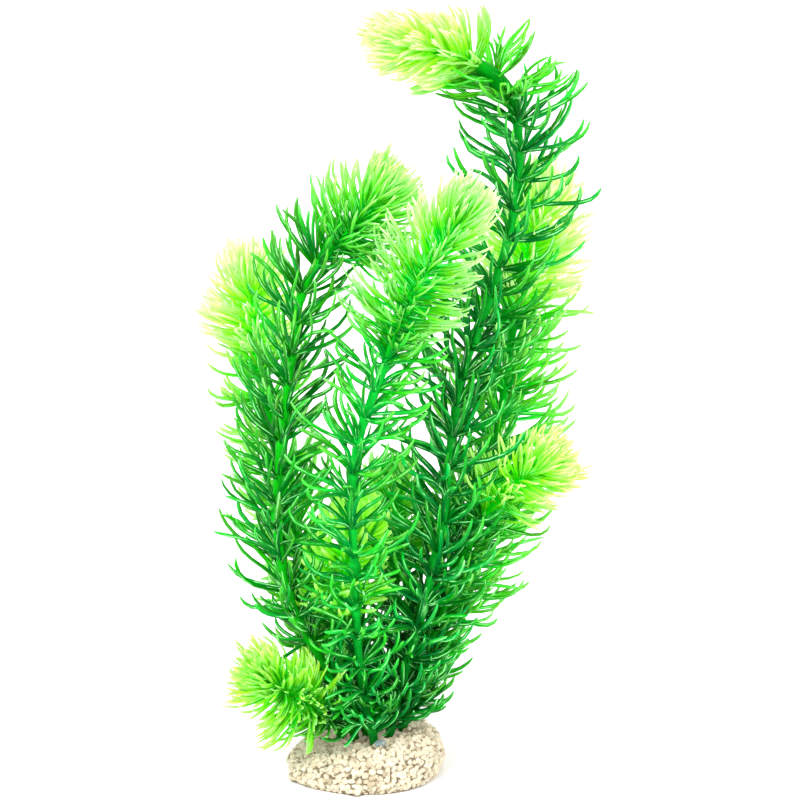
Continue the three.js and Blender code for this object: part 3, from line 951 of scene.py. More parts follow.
        # Painted shade: a length's leaves darken towards the gravel
        if not self.is_head:
            tint -= self.foot_shade * max(0.0, 1 - float(root[2]) / self.shaded_foot)
        return Leaf(
            root=root - outward * self.root_sunk, tip=tip,
            leaving=unit(axis * math.cos(start_lean) + out * math.sin(start_lean) + sideways * sway),
            arriving=unit(axis * math.cos(end_lean) + out * math.sin(end_lean) - sideways * sway),
            sideways=sideways, width=width, thickness=width * random.uniform(*VARIETY.flatness),
            roll=math.radians(random.uniform(*VARIETY.roll)),
            twist=math.radians(random.uniform(*VARIETY.twist)),
            tint=tint, hue=self.plain_hue + self.look.hue + random.uniform(*VARIETY.hue),
            root_spread=root_spread,
            youth=float(np.clip(youth + random.uniform(*VARIETY.youth), 0.0, 1.0)),
        )

    def fork(self, one: Leaf, other: Leaf, random: Random) -> None:
        """Lets a leaf branch off its neighbour a little way out, as the forked leaves do.

        Args:
            one: the leaf that keeps its root.
            other: the leaf that is moved on to it.
            random: the moulding's random numbers.
        """
        points, directions = one.curve(np.array([random.uniform(*VARIETY.fork_place)]))
        onward = unit(other.tip - points[0])
        if onward.dot(directions[0]) < self.fork_bend:
            return
        other.root = points[0]
        other.leaving = unit(directions[0] + onward)
        other.root_spread = 1.0
        other.tint = one.tint

    def grow(self) -> Span:
        """Grows every leaf of the moulding.

        Returns:
            The distances at which the moulding starts and ends.
        """
        random = np.random.default_rng(self.seed)
        found, ends = self.solid_leaves()
        grown = [self.grow_leaf(root, tip, ends, random) for root, tip in found]
        if self.is_head:
            more = self.between_leaves(found, random) + self.crown_leaves(found, random)
            if self.look.bare_share == 0:
                more += self.collar_leaves(ends[0], random)
        else:
            more = self.steep_leaves(found, random)
            if ends[0] < self.foot_end:
                more += self.lowest_leaves(random)
            for one, other, (root, _), (next_root, _) in zip(grown, grown[1:], found, found[1:]):
                close = np.linalg.norm(root - next_root) < self.whorl_gap
                if close and random.random() < self.fork_share:
                    self.fork(one, other, random)
        self.leaves = grown + [self.grow_leaf(root, tip, ends, random) for root, tip in more]
        return ends

    def between_leaves(self, found: list[Chord], random: Random) -> list[Chord]:
        """Fills a head with leaves that stand between the solid's own.

        Args:
            found: the solid's leaves, root and tip.
            random: the moulding's random numbers.

        Returns:
            The roots and tips of the leaves between them.
        """
        roots = np.array([root for root, _ in found])
        tips = np.array([tip for _, tip in found])
        ways = unit(tips - roots)
        heights = np.array([self.route.distance_of(root) for root in roots])
        heights = (heights - heights.min()) / (heights.max() - heights.min())
        chances = np.where(heights < self.look.bare_share, self.bare_density, 1.0)
        count = int(chances.sum() * self.look.density)
        made = []
        for one in random.choice(len(found), size=count, p=chances / chances.sum()):
            near = np.linalg.norm(roots - roots[one], axis=1) < self.between_gap
            other = int(random.choice(np.flatnonzero(near & (ways @ ways[one] > self.between_likeness))))
            share = random.uniform(*VARIETY.between_share)
            root = roots[one] * share + roots[other] * (1 - share)
            tip = tips[one] * share + tips[other] * (1 - share)
            made.append((root, root + (tip - root) * random.uniform(*VARIETY.between_reach)))
        return made

    def crown_leaves(self, found: list[Chord], random: Random) -> list[Chord]:
        """Closes a head's end with a brush of leaves that stand nearly straight on.

        Args:
            found: the solid's leaves, root and tip.
            random: the moulding's random numbers.

        Returns:
            The roots and tips of the crown's leaves.
        """
        end, forwards, _ = self.route.at(self.route.length)
        brush = max(float((tip - end).dot(forwards)) for _, tip in found)
        highest = max(tip[2] for _, tip in found)
        made = []
        for _ in range(self.crown_count):
            back = self.crown_depth * random.random()
            middle, along, out = self.route.around(self.route.length - back, random.uniform(*FULL_TURN))
            root = middle + out * self.head_end_radius * self.crown_sunk
            lean = self.crown_lean * math.sqrt(random.random())
            reach = (brush + back) * random.uniform(*VARIETY.crown_reach)
            made.append(leaning(root, along, out, lean, reach))
        return [(root, tip) for root, tip in made if tip[2] < highest]

    def steep_leaves(self, found: list[Chord], random: Random) -> list[Chord]:
        """Adds the steeper leaves that stand close along a length, inside the reach of the others.

        Args:
            found: the solid's leaves, root and tip.
            random: the moulding's random numbers.

        Returns:
            The roots and tips of the steep leaves.
        """
        made = []
        least, most = VARIETY.steep_lean
        for root, tip in found:
            _, middle, along, outward = self.route.beside(root)
            sideways = np.cross(along, outward)
            low = max(0.0, 1 - root[2] / self.low_down)
            for _ in range(int(self.look.density + self.extra_low_down * low + random.random())):
                turn = random.uniform(*VARIETY.steep_turn)
                out = unit(outward * math.cos(turn) + sideways * math.sin(turn))
                shift = random.uniform(*VARIETY.steep_shift) * MM
                start = middle + out * self.stem_radius * self.sunk + along * shift
                left_low = low if out[0] < self.left_side else 0.0
                lean = random.uniform(least, most + self.low_left_lean * left_low)
                reach = np.linalg.norm(tip - root) * random.uniform(*VARIETY.steep_reach)
                reach *= 1 + self.look.low_left_stretch * left_low
                made.append(leaning(start, self.axis_of(along), out, lean, reach))
        return made

    def collar_leaves(self, start: float, random: Random) -> list[Chord]:
        """Hides the joint below a head under leaves that lean on along the stem.

        Args:
            start: where the head starts along the stem.
            random: the moulding's random numbers.

        Returns:
            The roots and tips of the collar's leaves.
        """
        made = []
        for _ in range(self.collar_count):
            distance = start + random.uniform(*VARIETY.collar_shift) * MM
            middle, along, out = self.route.around(distance, random.uniform(*FULL_TURN))
            root = middle + out * self.sleeve_radius * self.sunk
            lean = random.uniform(*VARIETY.collar_lean)
            made.append(leaning(root, along, out, lean, random.uniform(*VARIETY.collar_reach) * MM))
        return made

    def lowest_leaves(self, random: Random) -> list[Chord]:
        """Adds the short leaves round the foot, just above the gravel, but for the side where the glue is.

        Args:
            random: the moulding's random numbers.

        Returns:
            The roots and tips of the lowest leaves.
        """
        made = []
        foot = float(self.route.distances[self.route.points[:, 2].searchsorted(self.gravel_top)])
        for _ in range(self.foot_leaves):
            distance = foot + random.uniform(*VARIETY.foot_shift) * MM
            middle, _, out = self.route.around(distance, random.uniform(*FULL_TURN))
            if out[1] < self.glue_front and out[0] > self.glue_left:
                continue
            root = middle + out * self.stem_radius * self.sunk
            on_left = out[0] < 0
            lean = random.uniform(*(VARIETY.foot_lean_left if on_left else VARIETY.foot_lean_right))
            reach = random.uniform(*(VARIETY.foot_reach_left if on_left else VARIETY.foot_reach_right)) * MM
            made.append(leaning(root, UP, out, lean, reach))
        return made

    def head_thickening(self, share: float) -> float:
        """Tells how much thicker a head's stem is than a length's at a share of its length.

        Args:
            share: the share of the length, from the lower end.

        Returns:
            The difference in radius, in metres.
        """
        more = (self.head_end_radius - self.stem_radius) * share + self.head_swelling * (1 - share)
        swollen = self.look.bare_share * self.bare_swelling_run
        if share < swollen:
            more += self.look.bare_swelling * MM * math.sin(math.pi * share / swollen)
        return more

    def stem_profile(self, ends: Span) -> list[Span]:
        """Lists the stem's radius along the moulding.

        Args:
            ends: where the moulding starts and ends along the stem.

        Returns:
            Distance and radius pairs from the lower end to the upper one.
        """
        start, end = ends
        is_foot = start < self.foot_end
        whorls = sorted({round(self.route.distance_of(leaf.root) / MM) * MM for leaf in self.leaves
                         if leaf.root_spread > 1})
        rows = []
        top = end if self.is_head else end - (self.peg_length + self.peg_gap)
        for distance in np.linspace(start, top, int((top - start) / self.stem_step) + 2):
            radius = self.stem_radius
            if self.is_head:
                radius += self.head_thickening((distance - start) / (end - start))
            else:
                nearest = min((abs(distance - whorl) for whorl in whorls), default=1.0)
                radius += self.whorl_swelling * max(0.0, 1 - (nearest / self.whorl_half) ** 2)
            if not is_foot:
                past = distance - start - self.sleeve_length
                share = float(np.clip(1 - past / self.sleeve_taper, 0.0, 1.0))
                radius = max(radius, self.stem_radius + (self.sleeve_radius - self.stem_radius) * share)
            rows.append((float(distance), radius))
        if not self.is_head:
            rows += [(top + self.peg_step, self.peg_radius), (end, self.peg_radius)]
        return rows

    def stem_arrays(self, ends: Span) -> tuple[np.ndarray, Faces]:
        """Draws the stem as a round bar along the route and makes it a mesh.

        Args:
            ends: where the moulding starts and ends along the stem.

        Returns:
            The stem's points and faces.
        """
        profile = self.stem_profile(ends)
        line = bpy.data.curves.new(self.node + "_line", "CURVE")
        line.dimensions = "3D"
        line.bevel_depth = 1.0
        line.bevel_resolution = self.bar_resolution
        line.use_fill_caps = True
        spline = line.splines.new("POLY")
        spline.points.add(len(profile) - 1)
        for point, (distance, radius) in zip(spline.points, profile):
            point.co = (*self.route.at(distance)[0], 1.0)
            point.radius = radius
        bar = linked(self.node + "_line", line)
        deselect_everything()
        bar.select_set(True)
        bpy.context.view_layer.objects.active = bar
        bpy.ops.object.convert(target="MESH")
        bpy.ops.object.mode_set(mode="EDIT")
        return taken_apart(bpy.context.object, self.weld)

    def stem_rows(self, points: np.ndarray, ends: Span) -> dict[str, list[np.ndarray]]:
        """Lists the numbers that the plastic reads at the stem's points.

        Args:
            points: the stem's points.
            ends: where the moulding starts and ends along the stem.

        Returns:
            The numbers under each attribute's name, each as the first part of a list.
        """
        start, end = ends
        youths = np.array([self.youth_at((self.route.distance_of(point) - start) / (end - start))
                           for point in points])
        if not self.is_head or self.look.bare_share > 0:
            youths = youths * self.stem_youth
        # Painted shade: the stem darkens towards the gravel
        light = np.clip((points[:, 2] - self.gravel_top) / self.shaded_foot, 0.0, 1.0)
        return {
            "leaf_share": [np.zeros(len(points))],
            "leaf_across": [np.full(len(points), self.stem_across)],
            "leaf_tint_and_painted_light": [light * self.look.stem_tint],
            "leaf_hue": [np.full(len(points), self.plain_hue + max(0.0, self.look.hue))],
            "youth": [np.clip(youths, 0.0, 1.0)],
        }

    def build(self, shape: LeafShape, material: bpy.types.Material) -> bpy.types.Object:
        """Joins the stem and its leaves into the piece and dresses it.

        Args:
            shape: the straight leaf.
            material: the plastic.

        Returns:
            The piece, riding on the bunch in place of its solid.
        """
        ends = self.grow()
        points, faces = self.stem_arrays(ends)
        rows = self.stem_rows(points, ends)
        parts = [points]
        total = len(points)
        first, last = self.look.colour_run
        for leaf in self.leaves:
            parts.append(leaf.bent(shape))
            faces.extend(tuple(corner + total for corner in face) for face in shape.faces)
            count = len(parts[-1])
            total += count
            rows["leaf_share"].append(first + (last - first) * shape.shares)
            rows["leaf_across"].append(shape.across)
            for name, value in (("leaf_tint_and_painted_light", leaf.tint), ("leaf_hue", leaf.hue), ("youth", leaf.youth)):
                rows[name].append(np.full(count, value))
        piece = piece_from(self.node + "_leafy", np.vstack(parts), faces)
        add_attributes(piece, rows)
        piece.data.materials.append(material)
        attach(piece, "root")
        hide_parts(self.node)
        return piece


@dataclass
class Stem:
    """A whole stem: its waypoints, its mouldings from the foot up and their finishes.

    Args:
        name: the stem's name, with which its solids' names begin.
        waypoints: right, back and up of each waypoint in millimetres.
        lengths: the names of its lengths from the foot up.
        slots: the finishes of its lengths and of its head.
        youth: how young the lengths' leaves are at the foot and at the top.
        head_youth: how young the head's leaves are at its lower and at its upper end.
        look: how the lengths' leaves stand.
        head_look: how the head's leaves stand.
    """

    name: str
    waypoints: tuple[Place, ...]
    lengths: tuple[str, ...]
    slots: tuple[Slot, Slot]
    youth: Span
    head_youth: Span
    look: Look = Look()
    head_look: Look = Look(widths=(1.0, 1.45), density=3.4)

    def mouldings(self, seed: int) -> list[Moulding]:
        """Lists the stem's mouldings.

        Args:
            seed: the start of the stem's random numbers.

        Returns:
            The lengths from the foot up, and the head.
        """
        route = Route(self.waypoints)
        slot, head_slot = self.slots
        low, high = self.youth
        made = []
        for index, name in enumerate(self.lengths):
            youth = tuple(low + (high - low) * (index + k) / len(self.lengths) for k in (0, 1))
            node = f"{self.name}_{name}"
            made.append(Moulding(node, route, Habit.LENGTH, slot, youth, self.look, seed + index))
        made.append(Moulding(f"{self.name}_head", route, Habit.HEAD, head_slot, self.head_youth,
                             self.head_look, seed + len(self.lengths)))
        return made


FOOT = 6.0
TWO_LENGTHS = ("lower_length", "upper_length")
STEMS = (
    Stem(
        "tall_stem",
        ((8, -5, FOOT), (10, -5, 19), (16, -7, 45), (25, -11, 80), (32, -12, 115), (34, -10, 140),
         (40, -5, 174), (50, -1, 201), (58, 2, 229), (61, 2, 258), (57, -1, 280), (46, -3, 292),
         (32, -6, 298), (15, -9, 303)),
        ("lower_length", "middle_length", "upper_length"), (Slot.DARK_GREEN, Slot.LIME),
        youth=(0.0, 0.2), head_youth=(0.0, 1.0),
        look=Look(widths=(1.7, 2.2), density=1.1, upright=0.7, hue=0.008,
                  bends_left=(0.1, 0.8, 0.1, 0.0), bends_right=(0.1, 0.1, 0.1, 0.7)),
        head_look=Look(widths=(1.1, 1.6), density=6.4, hue=-0.014, colour_run=(0.28, 0.88),
                       bends_left=(0.1, 0.7, 0.2, 0.0), bare_share=0.42, bare_swelling=1.7),
    ),
    Stem(
        "front_stem",
        ((4, -9, FOOT), (3, -10, 19), (0, -13, 35), (-3, -18, 61), (-4, -24, 94), (-5, -28, 128),
         (-1, -31, 154), (9, -33, 182), (18, -34, 205), (29, -35, 225), (38, -35, 240)),
        TWO_LENGTHS, (Slot.MID_GREEN, Slot.LIME), youth=(0.0, 0.3), head_youth=(0.35, 1.0),
        look=Look(widths=(1.5, 2.1), density=1.1, hue=0.01, bends_left=(0.2, 0.4, 0.3, 0.1)),
        head_look=Look(widths=(0.9, 1.4), density=3.0, hue=0.004, right_reach=(0.62, 0.95), green_front=0.45),
    ),
    Stem(
        "left_stem",
        ((-3, -5, FOOT), (-5, -6, 19), (-12, -10, 41), (-26, -16, 69), (-32, -19, 88), (-35, -20, 114),
         (-34, -20, 138), (-31, -19, 161), (-28, -18, 183), (-25, -17, 203), (-18, -16, 217), (-6, -15, 229),
         (6, -14, 243)),
        TWO_LENGTHS, (Slot.DARK_GREEN, Slot.BRIGHT_GREEN), youth=(0.0, 0.2), head_youth=(0.05, 0.9),
        look=Look(widths=(1.6, 2.1), upright=1.0, bends_left=(0.3, 0.35, 0.1, 0.25), stem_tint=0.8,
                  low_left_stretch=1.1),
    ),
    Stem(
        "right_back_stem",
        ((9, 7, FOOT), (11, 7, 18), (16, 9, 32), (26, 12, 55), (38, 14, 80), (48, 16, 112), (54, 18, 141),
         (58, 20, 168), (61, 21, 192), (66, 22, 215), (71, 22, 234)),
        TWO_LENGTHS, (Slot.MID_GREEN, Slot.LIME), youth=(0.15, 0.8), head_youth=(0.85, 1.0),
        look=Look(density=3.2, hue=0.004),
        head_look=Look(widths=(1.0, 1.5), density=4.4, hue=-0.014, brightness=0.05, colour_run=(0.15, 1.0)),
    ),
    Stem(
        "left_back_stem",
        ((-4, 4, FOOT), (-6, 4, 18), (-12, 8, 37), (-22, 14, 69), (-30, 18, 103), (-37, 21, 134),
         (-42, 23, 159), (-45, 25, 183), (-47, 26, 204)),
        TWO_LENGTHS, (Slot.MID_GREEN, Slot.LIME), youth=(0.35, 0.8), head_youth=(0.85, 1.0),
        look=Look(density=2.4),
        head_look=Look(widths=(1.0, 1.45), density=3.6, hue=-0.006, brightness=0.04, colour_run=(0.2, 0.98)),
    ),
    Stem(
        "lower_right_stem",
        ((13, 1, FOOT), (15, 1, 18), (20, 1, 35), (30, 0, 66), (39, -1, 92), (49, -4, 111), (61, -7, 126),
         (74, -9, 134)),
        ("length",), (Slot.DARK_GREEN, Slot.BRIGHT_GREEN), youth=(0.0, 0.25), head_youth=(0.6, 1.0),
        look=Look(upright=0.4),
        head_look=Look(widths=(1.0, 1.5), density=3.8, hue=-0.018, brightness=0.1, colour_run=(0.1, 0.92)),
    ),
    Stem(
        "lower_left_stem",
        ((-9, -1, FOOT), (-11, -2, 18), (-15, -5, 26), (-23, -13, 34), (-32, -19, 41), (-40, -24, 50)),
        ("length",), (Slot.MID_GREEN, Slot.LIME), youth=(0.3, 0.6), head_youth=(0.65, 0.85),
        head_look=Look(widths=(1.0, 1.5), density=5.0, hue=-0.012, colour_run=(0.0, 0.75), green_front=0.4),
    ),
    Stem(
        "inner_left_stem",
        ((1, -1, FOOT), (0, -1, 18), (-6, -4, 37), (-10, -6, 55), (-12, -8, 70), (-9, -10, 90),
         (-4, -12, 112)),
        ("length",), (Slot.MID_GREEN, Slot.BRIGHT_GREEN), youth=(0.1, 0.3), head_youth=(0.7, 0.95),
        head_look=Look(widths=(1.7, 2.5), density=1.8, hue=-0.012, brightness=0.16, colour_run=(0.15, 0.72)),
    ),
    Stem(
        "inner_right_stem",
        ((3, 5, FOOT), (4, 6, 18), (7, 8, 34), (11, 9, 55), (12, 9, 81), (11, 9, 108), (10, 8, 122)),
        ("length",), (Slot.DARK_GREEN, Slot.BRIGHT_GREEN), youth=(0.0, 0.2), head_youth=(0.3, 0.8),
    ),
)


# The gravel mound

@dataclass(frozen=True)
class GravelFinish:
    """Cream and tan stone grains with darker glue in the cracks between them, painted shadow towards each
    grain's sunk base and a painted glow.
    """

    cream: Colour = (0.64, 0.57, 0.43)
    pale: Colour = (0.7, 0.65, 0.53)
    tan: Colour = (0.5, 0.42, 0.29)
    grey: Colour = (0.3, 0.24, 0.16)
    crack_and_shadow: Colour = (0.16, 0.12, 0.07)
    # Painted fill light: the grains glow a little to soften their shading
    painted_fill_glow: float = 0.28
    roughness: float = 0.82
    speckle: float = 0.35
    speckle_scale: float = 1400.0
    speckle_span: Span = (0.42, 0.7)
    chips: float = 0.55
    chip_scale: float = 430.0
    chip_span: Span = (0.015, 0.07)
    # Painted shadow towards each grain's sunk base
    painted_shadow_strength: float = 0.85
    sunk_span: Span = (0.5, 1.0)
    grit_scale: float = 1900.0
    grit: float = 0.8
    grit_depth: float = 0.5 * MM
    bed_scale: float = 700.0
    bed_grit_scale: float = 1500.0
    bed_grit: float = 0.6
    bed_grit_depth: float = 0.4 * MM
    bed_roughness: float = 0.9

    def grains(self) -> bpy.types.Material:
        """Wires the grains' nodes, with painted shadow that darkens each grain towards its sunk base and a
        painted glow that fills in their shade.

        Returns:
            The material, which reads each grain's tint and how deep its surface lies.
        """
        sheet = Sheet("gravel_grains")
        colour = sheet.ramp(sheet.attribute("grain_tint"), [
            (0.0, self.grey), (0.08, self.tan), (0.3, self.cream), (0.75, self.cream), (1.0, self.pale),
        ])
        speckled = sheet.ranged(sheet.noise(self.speckle_scale, 4.0), self.speckle_span, (0.0, self.speckle))
        chipped = sheet.ranged(sheet.cracks(self.chip_scale), self.chip_span, (self.chips, 0.0))
        # Painted shadow: each grain darkens towards its sunk base
        sunk = sheet.ranged(sheet.attribute("grain_depth"), self.sunk_span, (0.0, self.painted_shadow_strength))
        for share, shade in ((speckled, self.tan), (chipped, self.grey), (sunk, self.crack_and_shadow)):
            colour = sheet.mixed(share, colour, shade)
        sheet.set(Base_Color=colour, Emission_Color=colour, Emission_Strength=self.painted_fill_glow,
                  Roughness=self.roughness,
                  Normal=sheet.relief(sheet.noise(self.grit_scale, 5.0), self.grit, self.grit_depth))
        return sheet.material

    def core(self) -> bpy.types.Material:
        """Wires the nodes of the glued bed that shows between the grains.

        Returns:
            The material.
        """
        sheet = Sheet("gravel_bed")
        patches = sheet.noise(self.bed_scale, 4.0)
        colour = sheet.ramp(patches, [(0.3, self.grey), (0.5, self.crack_and_shadow), (0.7, self.tan)])
        grit = sheet.noise(self.bed_grit_scale, 4.0)
        sheet.set(Base_Color=colour, Roughness=self.bed_roughness,
                  Normal=sheet.relief(grit, self.bed_grit, self.bed_grit_depth))
        return sheet.material


@dataclass
class GravelMound:
    """The mound: a bed of the solid's own shape, drawn in a little, and a skin of angular grains on it."""

    node: str = "gravel_mound"
    bed_depth: float = 1.1 * MM
    bed_floor: Span = (0.4 * MM, 0.5 * MM)
    grain_sizes: Span = (3.4 * MM, 4.8 * MM)
    grain_growths: Span = (0.85, 1.1)
    grain_widths: Span = (0.75, 1.0)
    grain_heights: Span = (0.6, 0.9)
    grain_sunk: Span = (0.7, 0.95)
    grain_spacing: float = 1.9 * MM
    grain_kinds: int = 6
    grain_lift: float = 0.02 * MM
    throws: int = 60000
    cuts: int = 7
    cut_places: Span = (0.26, 0.4)
    cut_weld: float = 0.03
    underside: float = -0.8
    stem_room: float = 2.0 * MM
    hole_height: float = 6 * MM
    hole_circle: float = 20 * MM
    finish: GravelFinish = GravelFinish()
    seed: int = 5

    def grain_shapes(self, random: Random) -> list[tuple[np.ndarray, Faces]]:
        """Models the grains: balls with flat chips struck off them.

        Args:
            random: the mound's random numbers.

        Returns:
            Each kind's points, one across, and its faces.
        """
        kinds = []
        for _ in range(self.grain_kinds):
            deselect_everything()
            bpy.ops.mesh.primitive_ico_sphere_add(subdivisions=2, radius=0.5)
            bpy.ops.object.mode_set(mode="EDIT")
            for _ in range(self.cuts):
                bpy.ops.mesh.select_all(action="SELECT")
                facing = unit(random.normal(size=3))
                place = facing * random.uniform(*self.cut_places)
                bpy.ops.mesh.bisect(plane_co=tuple(place), plane_no=tuple(facing), use_fill=True,
                                    clear_outer=True)
            kinds.append(taken_apart(bpy.context.object, self.cut_weld))
        return kinds

    def bed(self) -> bpy.types.Object:
        """Makes the bed, which shows only in the cracks between the grains.

        Returns:
            The bed.
        """
        merged = merged_solid(self.node)
        merged.normal_update()
        floor, low = self.bed_floor
        for corner in merged.verts:
            inward = corner.normal * self.bed_depth
            corner.co.x -= inward.x
            corner.co.y -= inward.y
            if corner.co.z > low:
                corner.co.z = max(floor, corner.co.z - abs(inward.z))
        mesh = bpy.data.meshes.new("gravel_bed")
        merged.to_mesh(mesh)
        merged.free()
        mesh.materials.append(self.finish.core())
        return linked("gravel_bed", mesh)

    def is_clear(self, place: np.ndarray, near: list[np.ndarray], feet: np.ndarray) -> bool:
        """Tells whether a grain has room at a place.

        Args:
            place: the place on the mound's skin.
            near: the places of the grains around it.
            feet: points on the stems' middle lines.

        Returns:
            Whether it is off the other grains, the stems and the bottoms of the holes for their feet.
        """
        if any(np.linalg.norm(place - other) < self.grain_spacing for other in near):
            return False
        if np.linalg.norm(feet - place, axis=1).min() < self.stem_room:
            return False
        return place[2] >= self.hole_height or np.hypot(place[0], place[1]) >= self.hole_circle

    def grain_places(self, random: Random, feet: np.ndarray) -> list[Chord]:
        """Scatters the grains over the mound.

        Args:
            random: the mound's random numbers.
            feet: points on the stems' middle lines, which the grains keep off.

        Returns:
            Each grain's middle and the way that the mound faces there.
        """
        merged = merged_solid(self.node)
        merged.normal_update()
        bmesh.ops.triangulate(merged, faces=merged.faces)
        faces = [face for face in merged.faces if face.normal.z > self.underside]
        areas = np.array([face.calc_area() for face in faces])
        taken: dict[tuple[int, int, int], list[np.ndarray]] = {}
        places = []
        for number in random.choice(len(faces), size=self.throws, p=areas / areas.sum()):
            face = faces[int(number)]
            one, two = random.random(2)
            if one + two > 1:
                one, two = 1 - one, 1 - two
            a, b, c = (np.array(corner.co) for corner in face.verts)
            place = a + (b - a) * one + (c - a) * two
            x, y, z = (int(math.floor(part / self.grain_spacing)) for part in place)
            near = [other for dx in (-1, 0, 1) for dy in (-1, 0, 1) for dz in (-1, 0, 1)
                    for other in taken.get((x + dx, y + dy, z + dz), ())]
            if self.is_clear(place, near, feet):
                taken.setdefault((x, y, z), []).append(place)
                places.append((place, np.array(face.normal)))
        merged.free()
        return places

    def grain_points(self, shape: np.ndarray, place: np.ndarray, facing: np.ndarray,
                     random: Random) -> np.ndarray:
        """Sets a copy of a grain into the mound's skin.

        Args:
            shape: the grain's points, one across.
            place: its place on the skin.
            facing: the way that the mound faces there.
            random: the mound's random numbers.

        Returns:
            The copy's points.
        """
        size = random.uniform(*self.grain_sizes) * random.uniform(*self.grain_growths)
        stretch = np.array([1.0, random.uniform(*self.grain_widths), random.uniform(*self.grain_heights)])
        turn = Matrix.Rotation(random.uniform(*FULL_TURN), 3, Vector(unit(random.normal(size=3))))
        grain = (shape * stretch) @ np.array(turn) * size
        grain = grain + place - facing * (np.abs(grain @ facing).max() * random.uniform(*self.grain_sunk))
        grain[:, 2] += max(0.0, self.grain_lift - grain[:, 2].min())
        return grain

    def build(self, feet: np.ndarray) -> list[bpy.types.Object]:
        """Builds and dresses the mound.

        Args:
            feet: points on the stems' middle lines near the gravel.

        Returns:
            The bed and the grains.
        """
        random = np.random.default_rng(self.seed)
        kinds = self.grain_shapes(random)
        parts, faces, total = [], [], 0
        rows: dict[str, list[np.ndarray]] = {"grain_tint": [], "grain_depth": []}
        for place, facing in self.grain_places(random, feet):
            shape, shape_faces = kinds[int(random.integers(len(kinds)))]
            grain = self.grain_points(shape, place, facing, random)
            parts.append(grain)
            faces.extend(tuple(corner + total for corner in face) for face in shape_faces)
            total += len(grain)
            rows["grain_tint"].append(np.full(len(grain), random.uniform(0.0, 1.0)))
            # How deep each point lies below the mound's skin, for the painted shadow
            rows["grain_depth"].append(np.clip((place - grain) @ facing / MM, 0.0, 1.0))
        grains = piece_from("gravel_grains", np.vstack(parts), faces, smooth=False)
        add_attributes(grains, rows)
        grains.data.materials.append(self.finish.grains())
        bed = self.bed()
        for piece in (bed, grains):
            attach(piece, "root")
            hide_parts(self.node)
        return [bed, grains]


# The bead of glue

@dataclass(frozen=True)
class GlueFinish:
    """Clear glue with a faint blue cast."""

    blue: Colour = (0.3, 0.58, 0.72)
    pale: Colour = (0.8, 0.92, 0.97)
    clearness: float = 0.75
    roughness: float = 0.06
    refraction: float = 1.46
    cloud_scale: float = 500.0
    ripple_scale: float = 900.0
    ripple: float = 0.2
    ripple_depth: float = 0.3 * MM

    def material(self) -> bpy.types.Material:
        """Wires the glue's nodes.

        Returns:
            The material.
        """
        sheet = Sheet("clear_glue")
        colour = sheet.ramp(sheet.noise(self.cloud_scale), [(0.3, self.blue), (0.7, self.pale)])
        ripple = sheet.relief(sheet.noise(self.ripple_scale), self.ripple, self.ripple_depth)
        sheet.set(Base_Color=colour, Roughness=self.roughness, IOR=self.refraction,
                  Transmission_Weight=self.clearness, Normal=ripple)
        return sheet.material


@dataclass
class GlueBead:
    """A bead of hardened glue in front of the stems' feet."""

    node: str = "glue_bead"
    size: float = 0.98
    finish: GlueFinish = GlueFinish()

    def build(self) -> bpy.types.Object:
        """Models the bead from a ball at its solid's size and place.

        Returns:
            The bead.
        """
        low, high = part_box(self.node)
        middle, half = (low + high) / 2, (high - low) / 2
        deselect_everything()
        bpy.ops.mesh.primitive_uv_sphere_add(segments=24, ring_count=14, radius=1.0)
        bead = bpy.context.object
        bead.name = "glue_drop"
        bpy.ops.object.mode_set(mode="EDIT")
        bpy.ops.mesh.select_all(action="SELECT")
        bpy.ops.transform.resize(value=tuple(half * self.size))
        bpy.ops.transform.translate(value=tuple(middle))
        bpy.ops.object.mode_set(mode="OBJECT")
        bpy.ops.object.shade_smooth()
        bead.data.materials.append(self.finish.material())
        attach(bead, "root")
        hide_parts(self.node)
        return bead


# The studio

@dataclass(frozen=True)
class Lamp:
    """A far lamp, as even over the floor as over the plant.

    Args:
        name: its name.
        towards: the direction in which it stands.
        softness: how wide it looks, in degrees.
        power: its strength.
    """

    name: str
    towards: Place
    softness: float
    power: float

    def hang(self) -> None:
        """Hangs the lamp and turns it to the plant."""
        data = bpy.data.lights.new(self.name, "SUN")
        data.angle = math.radians(self.softness)
        data.energy = self.power
        lamp = linked(self.name, data)
        lamp.location = self.towards
        lamp.rotation_euler = (-Vector(self.towards)).to_track_quat("-Z", "Y").to_euler()


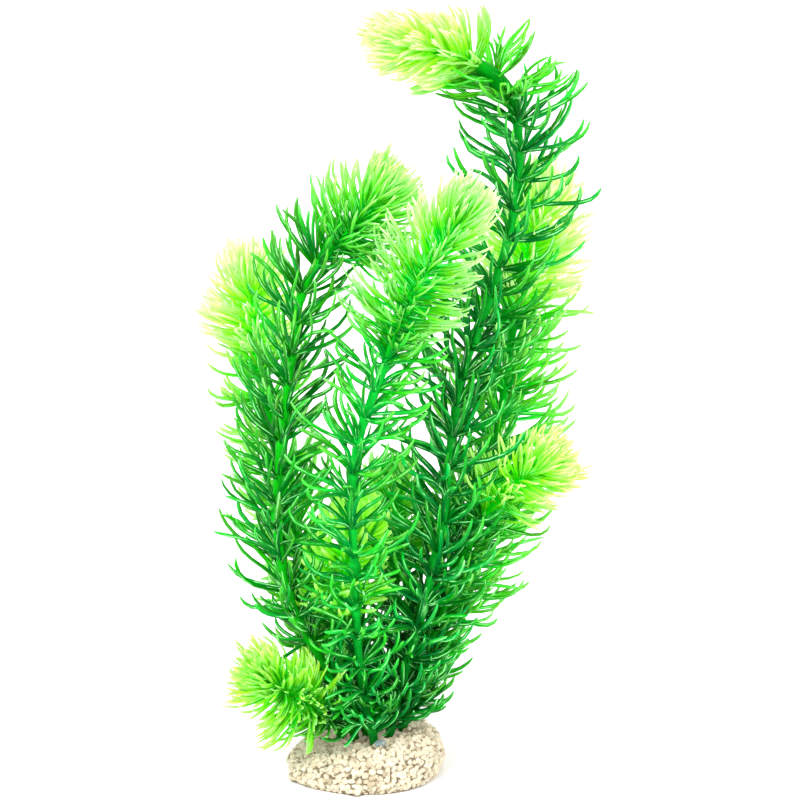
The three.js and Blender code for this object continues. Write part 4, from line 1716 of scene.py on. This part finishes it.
@dataclass
class Studio:
    """A pale floor, soft lamps and a camera at the photograph's angle."""

    target: Place = (0.014, 0.0, 0.158)
    elevation: float = 14.0
    distance: float = 1.2
    metres_a_pixel: float = 0.000401
    sensor: float = 36.0
    clipping: Span = (0.05, 50.0)
    floor_size: float = 60.0
    floor_colours: tuple[Colour, Colour] = ((0.86, 0.86, 0.86), (0.87, 0.87, 0.87))
    floor_roughness: float = 0.9
    floor_scale: float = 3.0
    sky_aside: float = 0.45
    sky_overhead: float = 1.9
    horizon: float = 1.0
    horizon_heights: Span = (0.14, 0.24)
    lamps: tuple[Lamp, ...] = (
        Lamp("key_lamp", (-0.5, -0.75, 1.0), softness=8.0, power=2.6),
        Lamp("fill_lamp", (0.8, -0.7, 0.5), softness=20.0, power=1.0),
    )

    def floor(self) -> None:
        """Lays the floor, which also fills the background."""
        deselect_everything()
        bpy.ops.mesh.primitive_plane_add(size=self.floor_size)
        floor = bpy.context.object
        floor.name = "floor"
        sheet = Sheet("floor_paper")
        dark, light = self.floor_colours
        colour = sheet.ramp(sheet.noise(self.floor_scale), [(0.3, dark), (0.7, light)])
        sheet.set(Base_Color=colour, Roughness=self.floor_roughness)
        floor.data.materials.append(sheet.material)

    def camera(self) -> None:
        """Sets the camera where the photograph was taken from."""
        data = bpy.data.cameras.new("camera")
        camera = linked("camera", data)
        tilt = math.radians(self.elevation)
        place = Vector(self.target) + self.distance * Vector((0.0, -math.cos(tilt), math.sin(tilt)))
        camera.location = place
        camera.rotation_euler = (Vector(self.target) - place).to_track_quat("-Z", "Y").to_euler()
        data.sensor_width = self.sensor
        data.lens = self.sensor * self.distance / (IMAGE_PIXELS * self.metres_a_pixel)
        data.clip_start, data.clip_end = self.clipping
        bpy.context.scene.camera = camera

    def sky(self) -> None:
        """Lights the studio all round, most of all from overhead, and pale along the horizon."""
        world = bpy.data.worlds.new("studio")
        world.use_nodes = True
        sheet = Nodes(world.node_tree)
        way = sheet.run("ShaderNodeTexCoord", "Generated")
        height = sheet.run("ShaderNodeSeparateXYZ", "Z", {"Vector": way})
        dome = sheet.ranged(height, (0.0, 1.0), (self.sky_aside, self.sky_overhead))
        rim = sheet.ranged(height, self.horizon_heights, (self.horizon, 0.0))
        background = sheet.nodes["Background"]
        sheet.links.new(sheet.math("MAXIMUM", dome, rim), background.inputs["Strength"])
        background.inputs["Color"].default_value = (1.0, 1.0, 1.0, 1.0)
        bpy.context.scene.world = world

    def build(self) -> None:
        """Sets up the floor, the lamps, the sky and the camera."""
        self.floor()
        for lamp in self.lamps:
            lamp.hang()
        self.sky()
        bpy.context.scene.view_settings.view_transform = "Standard"
        self.camera()


def main() -> None:
    """Builds the bunch, the mound, the glue and the studio."""
    logging.basicConfig(level=logging.INFO, format="%(name)s: %(message)s")
    shape = LeafShape()
    shape.model()
    plastics = {slot: finish.material() for slot, finish in PLASTICS.items()}
    near_gravel = 26 * MM
    feet = []
    total = 0
    for index, stem in enumerate(STEMS):
        for moulding in stem.mouldings(seed=100 * (index + 1)):
            piece = moulding.build(shape, plastics[moulding.slot])
            total += len(moulding.leaves)
            log.info("%s: %d leaves, %d faces", piece.name, len(moulding.leaves), len(piece.data.polygons))
        feet.append(moulding.route.points[moulding.route.points[:, 2] < near_gravel])
    log.info("%d leaves in all", total)
    for piece in GravelMound().build(np.vstack(feet)):
        log.info("%s: %d faces", piece.name, len(piece.data.polygons))
    log.info("%s", GlueBead().build().name)
    Studio().build()


if __name__ == "__main__":
    main()
